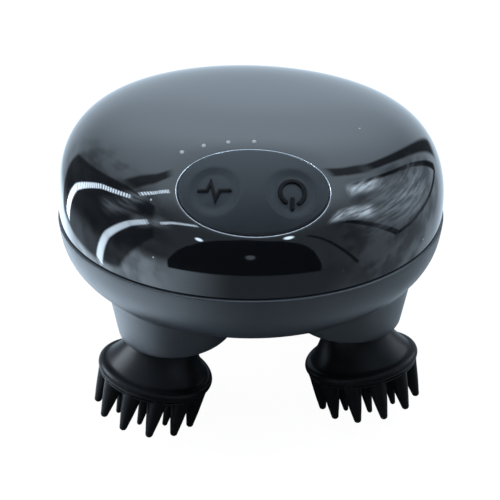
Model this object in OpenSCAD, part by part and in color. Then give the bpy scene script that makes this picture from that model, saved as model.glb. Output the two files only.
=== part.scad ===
// Electric scalp massager: a round body on four turning silicone heads.
// Millimetres. +Z is up, the button panel faces -Y, and the origin lies
// under the body's centre on the surface that the massage teeth stand on.

/* [Body] */
// Diameter of the housing at the seam
body_d = 98; // [97:0.5:101]
// How far the cover's edge stands back from the housing's edge
seam_step = 0.5; // [0.3:0.1:0.8]
// Open line between the cover and the housing
seam_gap = 0.3; // [0.2:0.05:0.4]
// Height of the crown above the seam
crown_h = 26.8; // [25.6:0.2:28]
// Lean of the crown towards the power button, in degrees
crown_lean = 1.5; // [0:0.5:3]
// Squareness of the crown's outline across the body
crown_square = 4.8; // [4.4:0.1:5.4]
// Squareness of the crown's outline in height
crown_rise = 2.28; // [2.1:0.02:2.5]
// Wall of the top cover
cover_wall = 2; // [1.6:0.1:2.2]
// Depth of the bowl below the seam
bowl_h = 20; // [19.5:0.5:22]
// Squareness of the bowl's outline
bowl_square = 3; // [2.8:0.1:3.4]
// How much deeper the bowl's curve runs than its flat bottom
bowl_flat = 0.25; // [0.1:0.05:0.4]
// Wall of the bottom housing
housing_wall = 2; // [1.6:0.1:2.2]

/* [Seam] */
// Width of the housing's rim band inside the seam
rim_w = 4.2; // [4:0.1:4.4]
// Depth of the rim band
rim_h = 3; // [2.5:0.1:3.2]
// Height of the lip that stands up inside the cover
lip_h = 2.5; // [2:0.1:3]
// Wall of the lip
lip_wall = 1.4; // [1.2:0.1:1.5]
// Clearance between the lip and the cover
lip_gap = 0.3; // [0.2:0.05:0.4]
// Width of the seam gasket
gasket_w = 1; // [0.8:0.1:1.1]
// Depth of the gasket's groove
gasket_groove = 0.8; // [0.6:0.1:1]

/* [Legs] */
// Distance of each leg's axis from the body's centre
leg_r = 30; // [29.5:0.25:30.5]
// Turn of the four legs about the body's axis against the button panel, in degrees
leg_turn = 7.5; // [6:0.5:9]
// Diameter of a leg at its rim
leg_d = 30; // [29:0.5:30.5]
// Depth of the leg's rim below the seam
leg_drop = 24; // [23:0.5:25]
// Widening of a leg from its rim up to its ceiling, on the radius
leg_flare = 1.4; // [1:0.1:1.6]
// Rounding of the leg's rim
rim_round = 0.7; // [0.4:0.1:0.8]
// Wall of a leg around its cavity
leg_wall = 1.6; // [1.4:0.1:2]
// Depth of the cavity's ceiling below the seam
ceiling_drop = 10.5; // [10.3:0.1:11]
// Thickness of the cavity's ceiling
ceiling_t = 2; // [1.6:0.1:2.2]

/* [Massage heads] */
// Tilt of each head's own axis against its leg, in degrees
head_tilt = 20.5; // [18:0.5:21]
// Turn of each head at rest from straight outwards, in degrees
head_turn = -12.5; // [-20:0.5:0]
// Depth of the tilt point below the seam
pivot_drop = 16; // [15.5:0.25:17]
// Distance from the tilt point to the middle of the head's rim
rim_reach = 20.75; // [20:0.25:21]
// Diameter of the head's rim
head_d = 29; // [28:0.5:29.5]
// Thickness of the head's rolled rim
head_rim_t = 3; // [2.6:0.1:3.2]
// Diameter of the head's neck
neck_d = 15.6; // [15:0.2:16.6]
// Distance from the tilt point to the top of the neck
neck_top = 1.5; // [1.2:0.1:2]
// Distance from the tilt point to the start of the flare
flare_start = 9; // [8:0.5:10]
// Diameter of the flare where it meets the rim
flare_d = 25.2; // [24:0.2:26]
// Curve of the flare, 1 is a straight cone
flare_curve = 1.9; // [1.4:0.1:2.2]
// Number of teeth in the outer ring
outer_teeth = 12; // [11:1:12]
// Diameter of the outer ring of teeth
outer_ring_d = 23.2; // [22:0.2:23.6]
// Diameter of the ring that the outer teeth's tips stand on
outer_tip_ring_d = 24.8; // [23.8:0.2:24.8]
// Length of an outer tooth
outer_tooth_l = 10; // [7:0.5:10]
// Diameter of an outer tooth at its root
outer_root_d = 5.2; // [4.4:0.2:5.4]
// Number of teeth in the inner ring
inner_teeth = 8; // [6:1:9]
// Diameter of the inner ring of teeth
inner_ring_d = 16.8; // [15.6:0.2:17.4]
// Length of an inner tooth
inner_tooth_l = 9.8; // [8:0.2:10]
// Diameter of an inner tooth at its root
inner_root_d = 3.8; // [3.2:0.2:4.2]
// Depth of a tooth's root in the head's rim
root_in = 0.6; // [0.4:0.1:0.8]
// Diameter of a tooth's round tip
tip_d = 1.5; // [1.2:0.1:1.8]

/* [Head core and spindle] */
// Diameter of the core's sleeve
sleeve_d = 10.4; // [9.6:0.2:11]
// Distance from the tilt point to the top of the sleeve
sleeve_top = 4.6; // [4.4:0.1:5.5]
// Diameter of the core's disc
core_disc_d = 22; // [20:0.5:22.6]
// Thickness of the core's disc
core_disc_t = 2; // [1.6:0.1:2.2]
// Diameter of the tilted pin
tilt_pin_d = 6; // [5.4:0.2:6.4]
// Length of the tilted pin below the tilt point
tilt_pin_l = 15.5; // [14:0.5:16]
// Diameter of the ball between the journal and the tilted pin
knuckle_d = 8.8; // [8:0.2:9]
// Diameter of the spindle's journal
journal_d = 5; // [4.6:0.1:5.2]
// Diameter of the spindle's collar
collar_d = 9; // [8:0.2:9.4]
// Thickness of the spindle's collar
collar_t = 1.6; // [1.2:0.1:2]
// Gap between the collar and the shaft seal
collar_gap = 0.6; // [0.4:0.1:0.8]
// Height of the journal above its upper bush
journal_end = 1.2; // [1.1:0.1:1.4]
// Diameter of the retaining clip
clip_d = 8.4; // [7.6:0.2:9]
// Thickness of the retaining clip
clip_t = 0.6; // [0.5:0.1:0.8]

/* [Bushes and seals] */
// Outer diameter of a bush
bush_d = 8; // [7.6:0.2:8.4]
// Diameter of an upper bush's flange
bush_flange_d = 10; // [9.4:0.2:10.4]
// Thickness of an upper bush's flange
bush_flange_t = 0.6; // [0.5:0.1:0.8]
// Length of a lower bush
lower_bush_l = 1.8; // [1.6:0.1:2]
// Outer diameter of a shaft seal
seal_d = 9.2; // [8.8:0.2:9.6]
// Height of a shaft seal
seal_h = 1.3; // [1.2:0.1:1.5]
// Wall of the bearing tube around the bush
bearing_wall = 2; // [1.4:0.1:2.2]
// Running clearance of a shaft in its bore, on the radius
run_gap = 0.05; // [0.03:0.01:0.08]
// Clearance of a piece pressed or set into another, on the radius
set_gap = 0.03; // [0.02:0.01:0.05]

/* [Gears] */
// Teeth on the sun gear
sun_teeth = 36; // [34:2:38]
// Teeth on each output gear
out_teeth = 24; // [22:2:26]
// Teeth on each of the two large reduction wheels
wheel_teeth = 60; // [54:3:60]
// Teeth on each of the two pinions
pinion_teeth = 12; // [12:1:14]
// Height of a tooth above its pitch circle, in modules
addendum = 0.9; // [0.8:0.05:0.95]
// Distance between the sun's axis and the idler's axis
idler_r = 18; // [17.5:0.25:18.25]
// Face width of the sun and output gears
drive_face = 5; // [4:0.5:5]
// Depth below the seam of the sun and output gears' top face
drive_top_drop = 2; // [1.9:0.1:2.2]
// Face width of the reduction gears
wheel_face = 2; // [1.6:0.2:2.2]
// Play between the teeth of the drive gears
drive_play = 0.12; // [0.08:0.02:0.2]
// Play between the teeth of the reduction gears
wheel_play = 0.08; // [0.06:0.02:0.12]
// Axial gap between a turning gear and what is above or below it
axial_gap = 0.5; // [0.4:0.05:0.6]
// Diameter of the sun gear's hub
sun_hub_d = 11; // [10:0.5:12]
// Diameter of the sun gear's axle
sun_axle_d = 3; // [2.5:0.1:3.4]
// Diameter of the idler gear's axle
idler_axle_d = 2; // [1.8:0.1:2.4]
// Diameter of an output gear's hub
out_hub_d = 9; // [8.4:0.2:10]

/* [Chassis] */
// Thickness of the chassis plate
plate_t = 2; // [1.8:0.1:2.2]
// Clearance between the chassis plate and the lip
plate_gap = 0.6; // [0.4:0.1:0.8]
// Distance of the chassis screws from the centre
chassis_screw_r = 37.5; // [36.5:0.25:38]
// Diameter of the posts under the chassis plate
chassis_post_d = 6; // [5.4:0.2:6.4]
// Distance of the cover screws from the centre
cover_screw_r = 41; // [40.5:0.25:41]
// Angle of the cover screws from the X axis, in degrees
cover_screw_a = 20; // [19:0.5:21]
// Diameter of the cover's screw posts
cover_post_d = 5.4; // [5:0.2:5.6]
// Wall of the housing's screw tubes around the screw head
screw_tube_wall = 1.2; // [1:0.1:1.4]
// Depth below the seam of the seat for the cover screws' heads
cover_screw_seat = 6; // [5:0.5:7]

/* [Screws] */
// Shank diameter of the case screws
case_screw_d = 2.2; // [2:0.1:2.4]
// Head diameter of the case screws
case_head_d = 4.2; // [3.8:0.2:4.4]
// Head height of the case screws
case_head_h = 1.5; // [1.2:0.1:1.7]
// Length of a case screw under its head
case_screw_l = 12; // [10:0.5:13]
// Shank diameter of the small screws
small_screw_d = 1.6; // [1.4:0.1:1.8]
// Head diameter of the small screws
small_head_d = 3; // [2.8:0.2:3.2]
// Head height of the small screws
small_head_h = 0.9; // [0.8:0.1:1]
// Length of a small screw under its head
small_screw_l = 3.6; // [3:0.2:4]
// Length of a chassis screw under its head
chassis_screw_l = 6; // [5:0.5:7]
// Clearance of a screw in its hole, on the radius
screw_gap = 0.15; // [0.1:0.05:0.2]
// Clearance of a screw's thread in its pilot hole, on the radius
thread_gap = 0.01; // [0.01:0.01:0.02]
// Depth of a blind pilot hole past its screw's end
pilot_end = 0.4; // [0.2:0.1:0.6]

/* [Motor] */
// Diameter of the motor can
motor_d = 24.4; // [23:0.2:24.8]
// Height of the motor can
motor_h = 12; // [11:0.1:12.2]
// Wall of the motor can
motor_wall = 0.8; // [0.6:0.1:1]
// Diameter of the motor's armature
armature_d = 18; // [16:0.5:20]
// Diameter of the motor's front boss
motor_boss_d = 6; // [5.4:0.2:6.6]
// Diameter of the motor shaft
motor_shaft_d = 2; // [1.8:0.1:2.2]
// Thickness of the motor's end cap
end_cap_t = 1.2; // [1:0.1:1.2]
// Height of the motor's terminals
terminal_h = 0.7; // [0.5:0.1:0.8]
// End float of the motor's shaft and armature
end_float = 0.3; // [0.2:0.1:0.4]
// Thickness of the motor bracket's plate
bracket_t = 1.5; // [1.3:0.1:1.6]
// Distance of the bracket's legs to the left and right of the centre
bracket_leg_x = 20.5; // [20:0.25:21]
// Distance of the bracket's legs to the front and rear of the centre
bracket_leg_y = 8.6; // [8.2:0.1:9]
// Diameter of the bracket's legs
bracket_leg_d = 5; // [4.6:0.2:5.2]
// Distance of the two motor screws from the motor's axis
motor_screw_r = 8; // [7:0.5:9]

/* [Button panel] */
// Place of the panel on the crown's outline, in degrees from the seam
panel_at = 49; // [48.5:0.5:51]
// Half width of the panel's opening
panel_a = 14.7; // [14:0.2:15]
// Half height of the panel's opening
panel_b = 9; // [8.6:0.1:9.2]
// Squareness of the panel's outline, 2 is an ellipse
panel_square = 2; // [1.9:0.05:2.1]
// Clearance around the keypad in its opening
panel_gap = 0.15; // [0.1:0.05:0.2]
// Width of the flange that holds the keypad behind the wall
keypad_lip = 1.2; // [1:0.1:1.4]
// Thickness of the keypad's flange
keypad_flange_t = 1; // [0.8:0.1:1.2]
// Distance of each button's centre from the panel's centre line
button_x = 7.5; // [7.2:0.1:7.7]
// Height of the buttons against the panel's centre, along the slope
button_y = -0.6; // [-1:0.1:0]
// Diameter of a button
button_d = 9.4; // [9:0.1:9.6]
// Clearance around a button, on the radius
button_gap = 0.12; // [0.1:0.02:0.2]
// Depth of the dish in a button
dish_depth = 0.7; // [0.5:0.1:0.9]
// Travel of a button
button_travel = 0.4; // [0.3:0.1:0.5]
// Gap left over a switch when its button is fully pressed
switch_gap = 0.05; // [0.03:0.01:0.1]
// Diameter of a button's plunger
plunger_d = 4; // [3.6:0.2:4.4]
// Width of the flange that keeps a button in, on the radius
button_flange_w = 0.8; // [0.6:0.1:1]
// Thickness of the flange that keeps a button in
button_flange_t = 0.6; // [0.5:0.1:0.7]
// Play of a button's flange under the keypad
button_play = 0.1; // [0.05:0.05:0.15]
// Height of the signs on the buttons above the dish
sign_h = 0.45; // [0.3:0.05:0.5]
// Line width of the signs on the buttons
sign_w = 0.8; // [0.6:0.1:0.9]
// Outer diameter of the power sign's ring
power_ring_d = 5.6; // [5:0.2:6]
// Length of the power sign's bar
power_bar_l = 2.2; // [1.8:0.1:2.6]
// Length of the pulse sign
pulse_l = 6.2; // [5.6:0.2:6.4]

/* [Indicator lights] */
// Number of indicator lights
light_count = 4; // [3:1:4]
// Diameter of an indicator light
light_d = 1.1; // [0.9:0.1:1.3]
// Distance of the row of lights outside the panel's end
light_out_a = 6.3; // [6:0.1:6.5]
// Distance of the row of lights above the panel's top
light_out_b = 2.5; // [2.4:0.1:2.8]
// Angle between two lights on their curve, in degrees
light_step = 14.3; // [13:0.1:15]

/* [Control board] */
// Width of the control board
board_w = 38; // [37:0.5:39]
// Height of the control board
board_l = 22; // [21.6:0.2:23]
// Shift of the board up the slope
board_shift = 2.4; // [2:0.1:2.6]
// Thickness of both circuit boards
board_t = 1.2; // [1:0.1:1.6]
// Depth of the control board's face below the panel
board_depth = 8.5; // [8.4:0.1:8.6]
// Distance of the board's two screws from its ends
board_screw_in = 2; // [1.7:0.1:2.1]
// Shift of the board's two screws up the slope
board_screw_y = 3; // [2.5:0.1:4]
// Diameter of the cover's posts for the board
board_post_d = 3.2; // [2.8:0.1:3.4]
// Side of a switch's body
switch_w = 5; // [4.6:0.2:5.4]
// Height of a switch's body
switch_h = 2.6; // [2.2:0.1:2.8]
// Height of a switch's stem
stem_h = 0.4; // [0.3:0.1:0.4]
// Diameter of a switch's stem
stem_d = 3.2; // [2.6:0.1:3.4]
// Side of an indicator light's chip
led_w = 1.6; // [1.2:0.1:2]
// Height of an indicator light's chip
led_h = 0.8; // [0.6:0.1:1]
// Side of the controller chip
chip_w = 7; // [5:0.5:7.5]
// Height of the controller chip
chip_h = 1.2; // [0.8:0.1:1.2]

/* [Power] */
// Width of the battery cell
cell_w = 35; // [32:0.5:35.5]
// Length of the battery cell, front to rear
cell_l = 20; // [18:0.5:20.5]
// Thickness of the battery cell
cell_t = 5.6; // [5:0.2:5.8]
// Rounding of the battery cell's corners
cell_round = 2; // [1:0.25:2.5]
// Distance of the battery cell's centre in front of the body's centre
cell_y = 27.5; // [27:0.25:28]
// Thickness of the foam pad under the cell
pad_t = 2.4; // [2.2:0.1:2.6]
// How far the foam pad stands back from the cell's edges
pad_in = 4.75; // [4.5:0.25:5.5]
// Width of the charge socket
socket_w = 8.9; // [8.6:0.1:9]
// Height of the charge socket
socket_h = 3.2; // [3:0.1:3.4]
// Length of the charge socket
socket_l = 7.3; // [7:0.1:7.6]
// Wall of the charge socket's shell
socket_wall = 0.35; // [0.3:0.05:0.4]
// Height of the socket's centre above the seam
socket_z = 7.5; // [7.2:0.1:7.8]
// Width of the charge board
charge_board_w = 16; // [15:0.5:17]
// Length of the charge board
charge_board_l = 10; // [9.5:0.25:10.5]
// Gap between the charge board's end and the cover's wall
charge_board_gap = 1.2; // [1:0.1:1.5]
// Distance of the charge board's screws from its centre line
charge_screw_x = 6.2; // [6:0.1:6.4]

/* [Port cover] */
// Width of the rubber port cover
flap_w = 13; // [12:0.5:14]
// Height of the rubber port cover
flap_h = 7; // [6.8:0.2:7.4]
// Thickness of the rubber port cover
flap_t = 1; // [0.8:0.1:1.1]
// Clearance around the port cover
flap_gap = 0.25; // [0.2:0.05:0.3]
// Clearance around the socket in the wall
port_gap = 0.4; // [0.3:0.05:0.5]
// Depth of the plug on the inside of the port cover
plug_l = 0.9; // [0.6:0.1:1]

/* [Hidden] */
$fn = 96;
// Cuts run this far past the faces that they open
cut = 1;
LEGS = [225, 315, 135, 45];

// Body outlines
body_r = body_d / 2;
crown_r = body_r - seam_step;
outline_steps = 24;
skirt = 6;

// Heads, measured along the head's own axis from the tilt point
rim_top = rim_reach - head_rim_t / 2;
rim_bottom = rim_reach + head_rim_t / 2;
outer_splay = asin((outer_tip_ring_d - outer_ring_d) / 2 / (outer_tooth_l + root_in - tip_d / 2));
outer_tip_l = rim_bottom - root_in + (outer_tooth_l + root_in - tip_d / 2) * cos(outer_splay);
seam_z = pivot_drop + outer_tip_l * cos(head_tilt) + outer_tip_ring_d / 2 * sin(head_tilt) + tip_d / 2;

// Seam and chassis
lip_r = crown_r - cover_wall - lip_gap;
plate_r = lip_r - lip_wall - plate_gap;
gasket_r = crown_r - cover_wall / 2;
tube_d = case_head_d + 2 * screw_gap + 2 * screw_tube_wall;

// Stack of the gear train, measured from the seam
plate_top = plate_t / 2;
plate_bottom = -plate_t / 2;
drive_top = -drive_top_drop;
drive_bottom = drive_top - drive_face;
ceiling_top = -ceiling_drop + ceiling_t;
seal_top = -ceiling_drop + seal_h;
lower_bush_top = seal_top + lower_bush_l;
collar_top = -ceiling_drop - collar_gap;
bush_flange_top = plate_top + bush_flange_t;
journal_top = bush_flange_top + journal_end;
sun_wheel_z = plate_top + axial_gap * 2;
idler_wheel_z = sun_wheel_z + wheel_face + axial_gap * 2;
bracket_z = idler_wheel_z + wheel_face + axial_gap;
motor_z = bracket_z + bracket_t;
motor_top = motor_z + motor_h;
shaft_top = motor_top + end_cap_t / 2;
hub_bottom = drive_bottom - axial_gap;
hub_top = sun_wheel_z + wheel_face;

// Gears
drive_module = 2 * leg_r / (sun_teeth + out_teeth);
wheel_module = 2 * idler_r / (wheel_teeth + pinion_teeth);
idler_pinion_turn = mesh_turn(wheel_teeth, pinion_teeth, 90);
motor_pinion_turn = mesh_turn(wheel_teeth, pinion_teeth, 270);

// Panel frame, on the crown's outline
panel_r = outline_r(panel_at, 0);
panel_z = outline_z(panel_at, 0);
panel_tilt = atan2(outline_z(panel_at + 1, 0) - outline_z(panel_at - 1, 0),
                   outline_r(panel_at - 1, 0) - outline_r(panel_at + 1, 0));
stem_top = -board_depth + switch_h + stem_h;
board_screw_x = board_w / 2 - board_screw_in;
plunger_end = stem_top + button_travel + switch_gap;
dish_r = (pow(button_d / 2, 2) + pow(dish_depth, 2)) / (2 * dish_depth);
// How far the crown falls away under a button's centre
button_drop = (panel_r - sqrt(pow(panel_r, 2) - pow(button_x, 2))) * sin(panel_tilt);
button_seat = cover_wall + set_gap + keypad_flange_t + button_play;

// Port at the rear, on the crown's outline
port_r = crown_radius_at(socket_z);
charge_board_y = port_r - cover_wall - charge_board_gap - charge_board_l / 2;
charge_board_top = socket_z - socket_h / 2;
flap_pivot_z = socket_z - flap_h / 2 + flap_gap + flap_t / 2;
flap_pivot_r = crown_radius_at(flap_pivot_z) - flap_t / 2;
plug_w = socket_w - 0.4;
plug_h = socket_h - 0.6;

// The crown's outline at angle t from the seam, set in by d from the outside
function outline_r(t, d) = (crown_r - d) * pow(cos(t), 2 / crown_square);
function outline_z(t, d) = (crown_h - d) * pow(sin(t), 2 / crown_rise);
// Radius of the crown at height z above the seam
function crown_radius_at(z) = outline_r(asin(pow(z / crown_h, crown_rise / 2)), 0);
// The bowl's outline at angle t from the seam, set in by d from the outside
function bowl_point(t, d) = [(body_r - d) * pow(cos(t), 2 / bowl_square),
                             -(bowl_h + bowl_flat - d) * pow(sin(t), 2 / bowl_square)];
// Tooth angles of an involute gear
function involute(a) = tan(a) * 180 / PI - a;
function half_tooth(r, z, m, play) =
    90 / z - play / (m * z) * 90 / PI + involute(20)
    - involute(acos(min(1, m * z * cos(20) / 2 / r)));
function flank(z, m) = let (base = max(m * z * cos(20) / 2, m * (z / 2 - 1.25)))
    [m * (z / 2 - 1.25), for (i = [0:3]) base + (m * (z / 2 + addendum) - base) * i / 3];
function polar(r, a) = [r * cos(a), r * sin(a)];
function gear_points(z, m, play) = let (rs = flank(z, m), last = len(rs) - 1) [
    for (i = [0:z - 1]) for (k = [0:2 * last + 1])
        let (r = rs[k <= last ? k : 2 * last + 1 - k], side = k <= last ? -1 : 1)
        polar(r, i * 360 / z + side * half_tooth(r, z, m, play))
];
// Turn of a gear that puts its teeth in mesh with a gear that has a tooth at angle 0,
// and that sees it in direction a
function mesh_turn(from, to, a) = a + 180 + (a * from / 360 + 0.5) * 360 / to;

module at_seam() {
    translate([0, 0, seam_z]) children();
}

module at_leg(a) {
    at_seam() rotate([0, 0, a + leg_turn]) translate([leg_r, 0, 0]) children();
}

// Along a head's own axis: +Z runs down and outwards from the tilt point
module at_head(a) {
    at_leg(a) translate([0, 0, -pivot_drop]) rotate([0, 0, head_turn]) rotate([0, -head_tilt, 0])
        rotate([180, 0, 0]) children();
}

// The leaning frame of the crown
module at_crown() {
    at_seam() rotate([0, crown_lean, 0]) children();
}

// The panel's frame: +Z runs outwards from the panel, +Y up the slope
module at_panel() {
    at_crown() translate([0, -panel_r, panel_z]) rotate([panel_tilt, 0, 0]) children();
}

module ring(d_out, d_in, h) {
    difference() {
        cylinder(h = h, d = d_out);
        translate([0, 0, -cut]) cylinder(h = h + 2 * cut, d = d_in);
    }
}

module rounded_rect(w, l, r) {
    square([w - 2 * r, l], center = true);
    square([w, l - 2 * r], center = true);
    for (x = [-1, 1]) for (y = [-1, 1]) translate([x * (w / 2 - r), y * (l / 2 - r)]) circle(r);
}

module gear(z, m, play, h) {
    linear_extrude(h) polygon(gear_points(z, m, play));
}

module crown_solid(d) {
    rotate_extrude() polygon(concat(
        [[0, -skirt], [crown_r - d, -skirt]],
        [for (i = [0:outline_steps]) let (t = 90 * i / outline_steps) [outline_r(t, d), outline_z(t, d)]]
    ));
}

module bowl_solid(d) {
    intersection() {
        rotate_extrude() polygon(concat(
            [for (i = [0:outline_steps]) bowl_point(90 * i / outline_steps, d)],
            [[0, 0]]
        ));
        translate([0, 0, -bowl_h + d]) cylinder(h = bowl_h, r = body_r + cut);
    }
}

module leg_solid(top) {
    r = leg_d / 2;
    rotate_extrude() polygon(concat(
        [[0, -leg_drop]],
        [for (a = [-90:15:0]) [r - rim_round + rim_round * cos(a), -leg_drop + rim_round + rim_round * sin(a)]],
        [[r + leg_flare, top], [0, top]]
    ));
}

module panel_outline(grow) {
    polygon([for (a = [0:5:355]) [
        (panel_a + grow) * sign(cos(a)) * pow(abs(cos(a)), 2 / panel_square),
        (panel_b + grow) * sign(sin(a)) * pow(abs(sin(a)), 2 / panel_square)
    ]]);
}

module panel_prism(grow) {
    at_panel() translate([0, 0, -panel_b]) linear_extrude(2 * panel_b) panel_outline(grow);
}

module at_buttons(x) {
    at_panel() translate([x, button_y, 0]) children();
}

module at_lights() {
    for (i = [0:light_count - 1])
        at_panel() translate([-(panel_a + light_out_a) * sin(i * light_step),
                              (panel_b + light_out_b) * cos(i * light_step), 0]) children();
}

module at_board_screws() {
    for (x = [-1, 1]) at_panel() translate([x * board_screw_x, board_screw_y, -board_depth]) children();
}

module at_charge_screws() {
    for (x = [-1, 1])
        at_seam() translate([x * charge_screw_x, charge_board_y - charge_board_l / 4, 0]) children();
}

module at_cover_screws() {
    for (a = [-1, 1]) for (side = [0, 180])
        at_seam() rotate([0, 0, side + leg_turn + a * cover_screw_a]) translate([cover_screw_r, 0, 0])
            children();
}

module at_chassis_screws() {
    for (a = [0:90:270]) at_seam() rotate([0, 0, a]) translate([chassis_screw_r, 0, 0]) children();
}

module at_bracket_legs() {
    for (x = [-1, 1]) for (y = [-1, 1]) at_seam() translate([x * bracket_leg_x, y * bracket_leg_y, 0])
        children();
}

module at_motor_screws() {
    for (x = [-1, 1]) at_seam() translate([x * motor_screw_r, 0, 0]) children();
}

module port_shape(w, h, grow) {
    at_seam() translate([0, port_r - 2 * flap_h, socket_z]) rotate([-90, 0, 0])
        linear_extrude(3 * flap_h) rounded_rect(w + 2 * grow, h + 2 * grow, (h + 2 * grow) / 2 - 0.01);
}

// A screw that points down from its head's seat at z = 0
module screw(d, l, head_d, head_h) {
    translate([0, 0, -l]) cylinder(h = l + head_h / 2, r = d / 2 - thread_gap);
    difference() {
        cylinder(h = head_h, d = head_d);
        for (a = [0, 90]) rotate([0, 0, a])
            translate([-head_d * 0.3, -head_d * 0.06, head_h / 2])
                cube([head_d * 0.6, head_d * 0.12, head_h]);
    }
}

module top_cover() {
    color("#101114") difference() {
        union() {
            intersection() {
                difference() {
                    at_crown() crown_solid(0);
                    at_crown() crown_solid(cover_wall);
                }
                at_seam() translate([0, 0, seam_gap]) cylinder(h = crown_h * 2, r = body_r);
            }
            intersection() {
                union() {
                    at_cover_screws() translate([0, 0, plate_bottom + set_gap])
                        cylinder(h = crown_h, d = cover_post_d);
                    at_board_screws() cylinder(h = board_depth, d = board_post_d);
                }
                at_crown() crown_solid(cover_wall / 2);
            }
        }
        panel_prism(0);
        at_lights() translate([0, 0, -board_depth])
            cylinder(h = 2 * board_depth, r = light_d / 2 + set_gap);
        at_cover_screws() translate([0, 0, -cover_screw_seat])
            cylinder(h = case_screw_l + pilot_end, d = case_screw_d);
        at_board_screws() translate([0, 0, -board_t])
            cylinder(h = small_screw_l + pilot_end, d = small_screw_d);
        port_shape(socket_w, socket_h, port_gap);
        difference() {
            port_shape(flap_w, flap_h, 0);
            at_crown() crown_solid(flap_t + flap_gap);
        }
    }
}

module bottom_housing() {
    color("#26282c") difference() {
        union() {
            difference() {
                at_seam() bowl_solid(0);
                at_seam() bowl_solid(housing_wall);
            }
            // Rim band and the lip that stands up inside the cover
            intersection() {
                at_seam() translate([0, 0, -rim_h]) ring(body_d + 2 * cut, body_d - 2 * rim_w, 2 * rim_h);
                at_seam() bowl_solid(0);
            }
            at_seam() translate([0, 0, -rim_h])
                ring(2 * lip_r, 2 * (lip_r - lip_wall), rim_h + lip_h);
            // Legs, closed at the top by the ceilings of their cavities
            for (a = LEGS) {
                at_leg(a) leg_solid(ceiling_top);
                at_leg(a) translate([0, 0, ceiling_top - cut])
                    cylinder(h = lower_bush_top - ceiling_top + cut, d = bush_d + 2 * bearing_wall);
            }
            // Post of the sun gear's axle
            at_seam() translate([0, 0, -bowl_h + housing_wall / 2])
                cylinder(h = bowl_h - housing_wall / 2 + hub_bottom - axial_gap, d = sun_axle_d * 2.6);
            intersection() {
                union() {
                    at_chassis_screws() translate([0, 0, -bowl_h])
                        cylinder(h = bowl_h + plate_bottom, d = chassis_post_d);
                    at_cover_screws() translate([0, 0, -bowl_h])
                        cylinder(h = bowl_h + plate_bottom, d = tube_d);
                }
                at_seam() bowl_solid(housing_wall / 2);
            }
        }
        for (a = LEGS) {
            at_leg(a) translate([0, 0, -leg_drop - cut])
                cylinder(h = leg_drop + cut - ceiling_drop, d = leg_d - 2 * leg_wall);
            at_leg(a) translate([0, 0, -ceiling_drop - cut])
                cylinder(h = seal_h + cut, r = seal_d / 2 + set_gap);
            at_leg(a) translate([0, 0, seal_top - cut])
                cylinder(h = lower_bush_l + 2 * cut, r = bush_d / 2 + set_gap);
        }
        at_seam() translate([0, 0, -bowl_h + housing_wall])
            cylinder(h = bowl_h, r = sun_axle_d / 2 + set_gap);
        at_seam() translate([0, 0, -gasket_groove])
            ring(2 * (gasket_r + set_gap) + gasket_w, 2 * (gasket_r - set_gap) - gasket_w, rim_h);
        at_chassis_screws() translate([0, 0, plate_top - chassis_screw_l - pilot_end])
            cylinder(h = chassis_screw_l + pilot_end, d = small_screw_d);
        at_cover_screws() translate([0, 0, -bowl_h - cut])
            cylinder(h = bowl_h + cut - cover_screw_seat, r = case_head_d / 2 + screw_gap);
        at_cover_screws() translate([0, 0, -bowl_h])
            cylinder(h = 2 * bowl_h, r = case_screw_d / 2 + screw_gap);
    }
}

module seam_gasket() {
    color("#3a3d42") at_seam() translate([0, 0, -gasket_groove])
        ring(2 * gasket_r + gasket_w, 2 * gasket_r - gasket_w, gasket_groove + seam_gap);
}

module keypad() {
    color("#2d3034") difference() {
        union() {
            intersection() {
                difference() {
                    at_crown() crown_solid(0);
                    at_crown() crown_solid(cover_wall + 0.5);
                }
                panel_prism(-panel_gap);
            }
            intersection() {
                difference() {
                    at_crown() crown_solid(cover_wall + set_gap);
                    at_crown() crown_solid(cover_wall + set_gap + keypad_flange_t);
                }
                panel_prism(keypad_lip);
            }
        }
        for (x = [-1, 1]) at_buttons(x * button_x) translate([0, 0, -board_depth])
            cylinder(h = 2 * board_depth, r = button_d / 2 + button_gap);
    }
}

// The part of the crown between two depths, inside a cylinder about a button's axis
module button_layer(x, from, to, r) {
    intersection() {
        difference() {
            at_crown() crown_solid(from);
            at_crown() crown_solid(to);
        }
        at_buttons(x) translate([0, 0, -board_depth]) cylinder(h = 2 * board_depth, r = r);
    }
}

// A button: a dished cap, the flange that keeps it in, and a plunger for its switch
module button(x) {
    difference() {
        union() {
            button_layer(x, 0, button_seat + button_flange_t, button_d / 2);
            button_layer(x, button_seat, button_seat + button_flange_t, button_d / 2 + button_flange_w);
            at_buttons(x) translate([0, 0, plunger_end])
                cylinder(h = -plunger_end - cover_wall, d = plunger_d);
        }
        at_buttons(x) translate([0, 0, dish_r - dish_depth - button_drop]) sphere(r = dish_r);
    }
}

module sign_at(x) {
    at_buttons(x) translate([0, 0, -dish_depth - button_drop - set_gap]) linear_extrude(sign_h + set_gap)
        children();
}

module power_button() {
    color("#2d3034") {
        button(button_x);
        sign_at(button_x) difference() {
            circle(d = power_ring_d);
            circle(d = power_ring_d - 2 * sign_w);
            translate([-sign_w * 1.4, -power_ring_d]) square([sign_w * 2.8, power_ring_d]);
        }
        sign_at(button_x) translate([-sign_w / 2, -power_ring_d / 2 - sign_w / 2])
            square([sign_w, power_bar_l]);
    }
}

module pulse_button() {
    color("#2d3034") {
        button(-button_x);
        sign_at(-button_x) polygon(pulse_points(pulse_l, sign_w));
    }
}

// A flat line with one sharp pulse in its middle
function pulse_points(l, w) = let (h = l * 0.34, s = l * 0.13) [
    [-l / 2, -w / 2], [-s * 1.7, -w / 2], [-s, h * 0.55], [s * 0.3, -h - w * 0.6], [s * 1.6, -w / 2], [l / 2, -w / 2],
    [l / 2, w / 2], [s * 1.2, w / 2], [s * 0.45, -h * 0.35], [-s * 0.9, h + w * 0.6], [-s * 2.1, w / 2], [-l / 2, w / 2]
];

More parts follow.
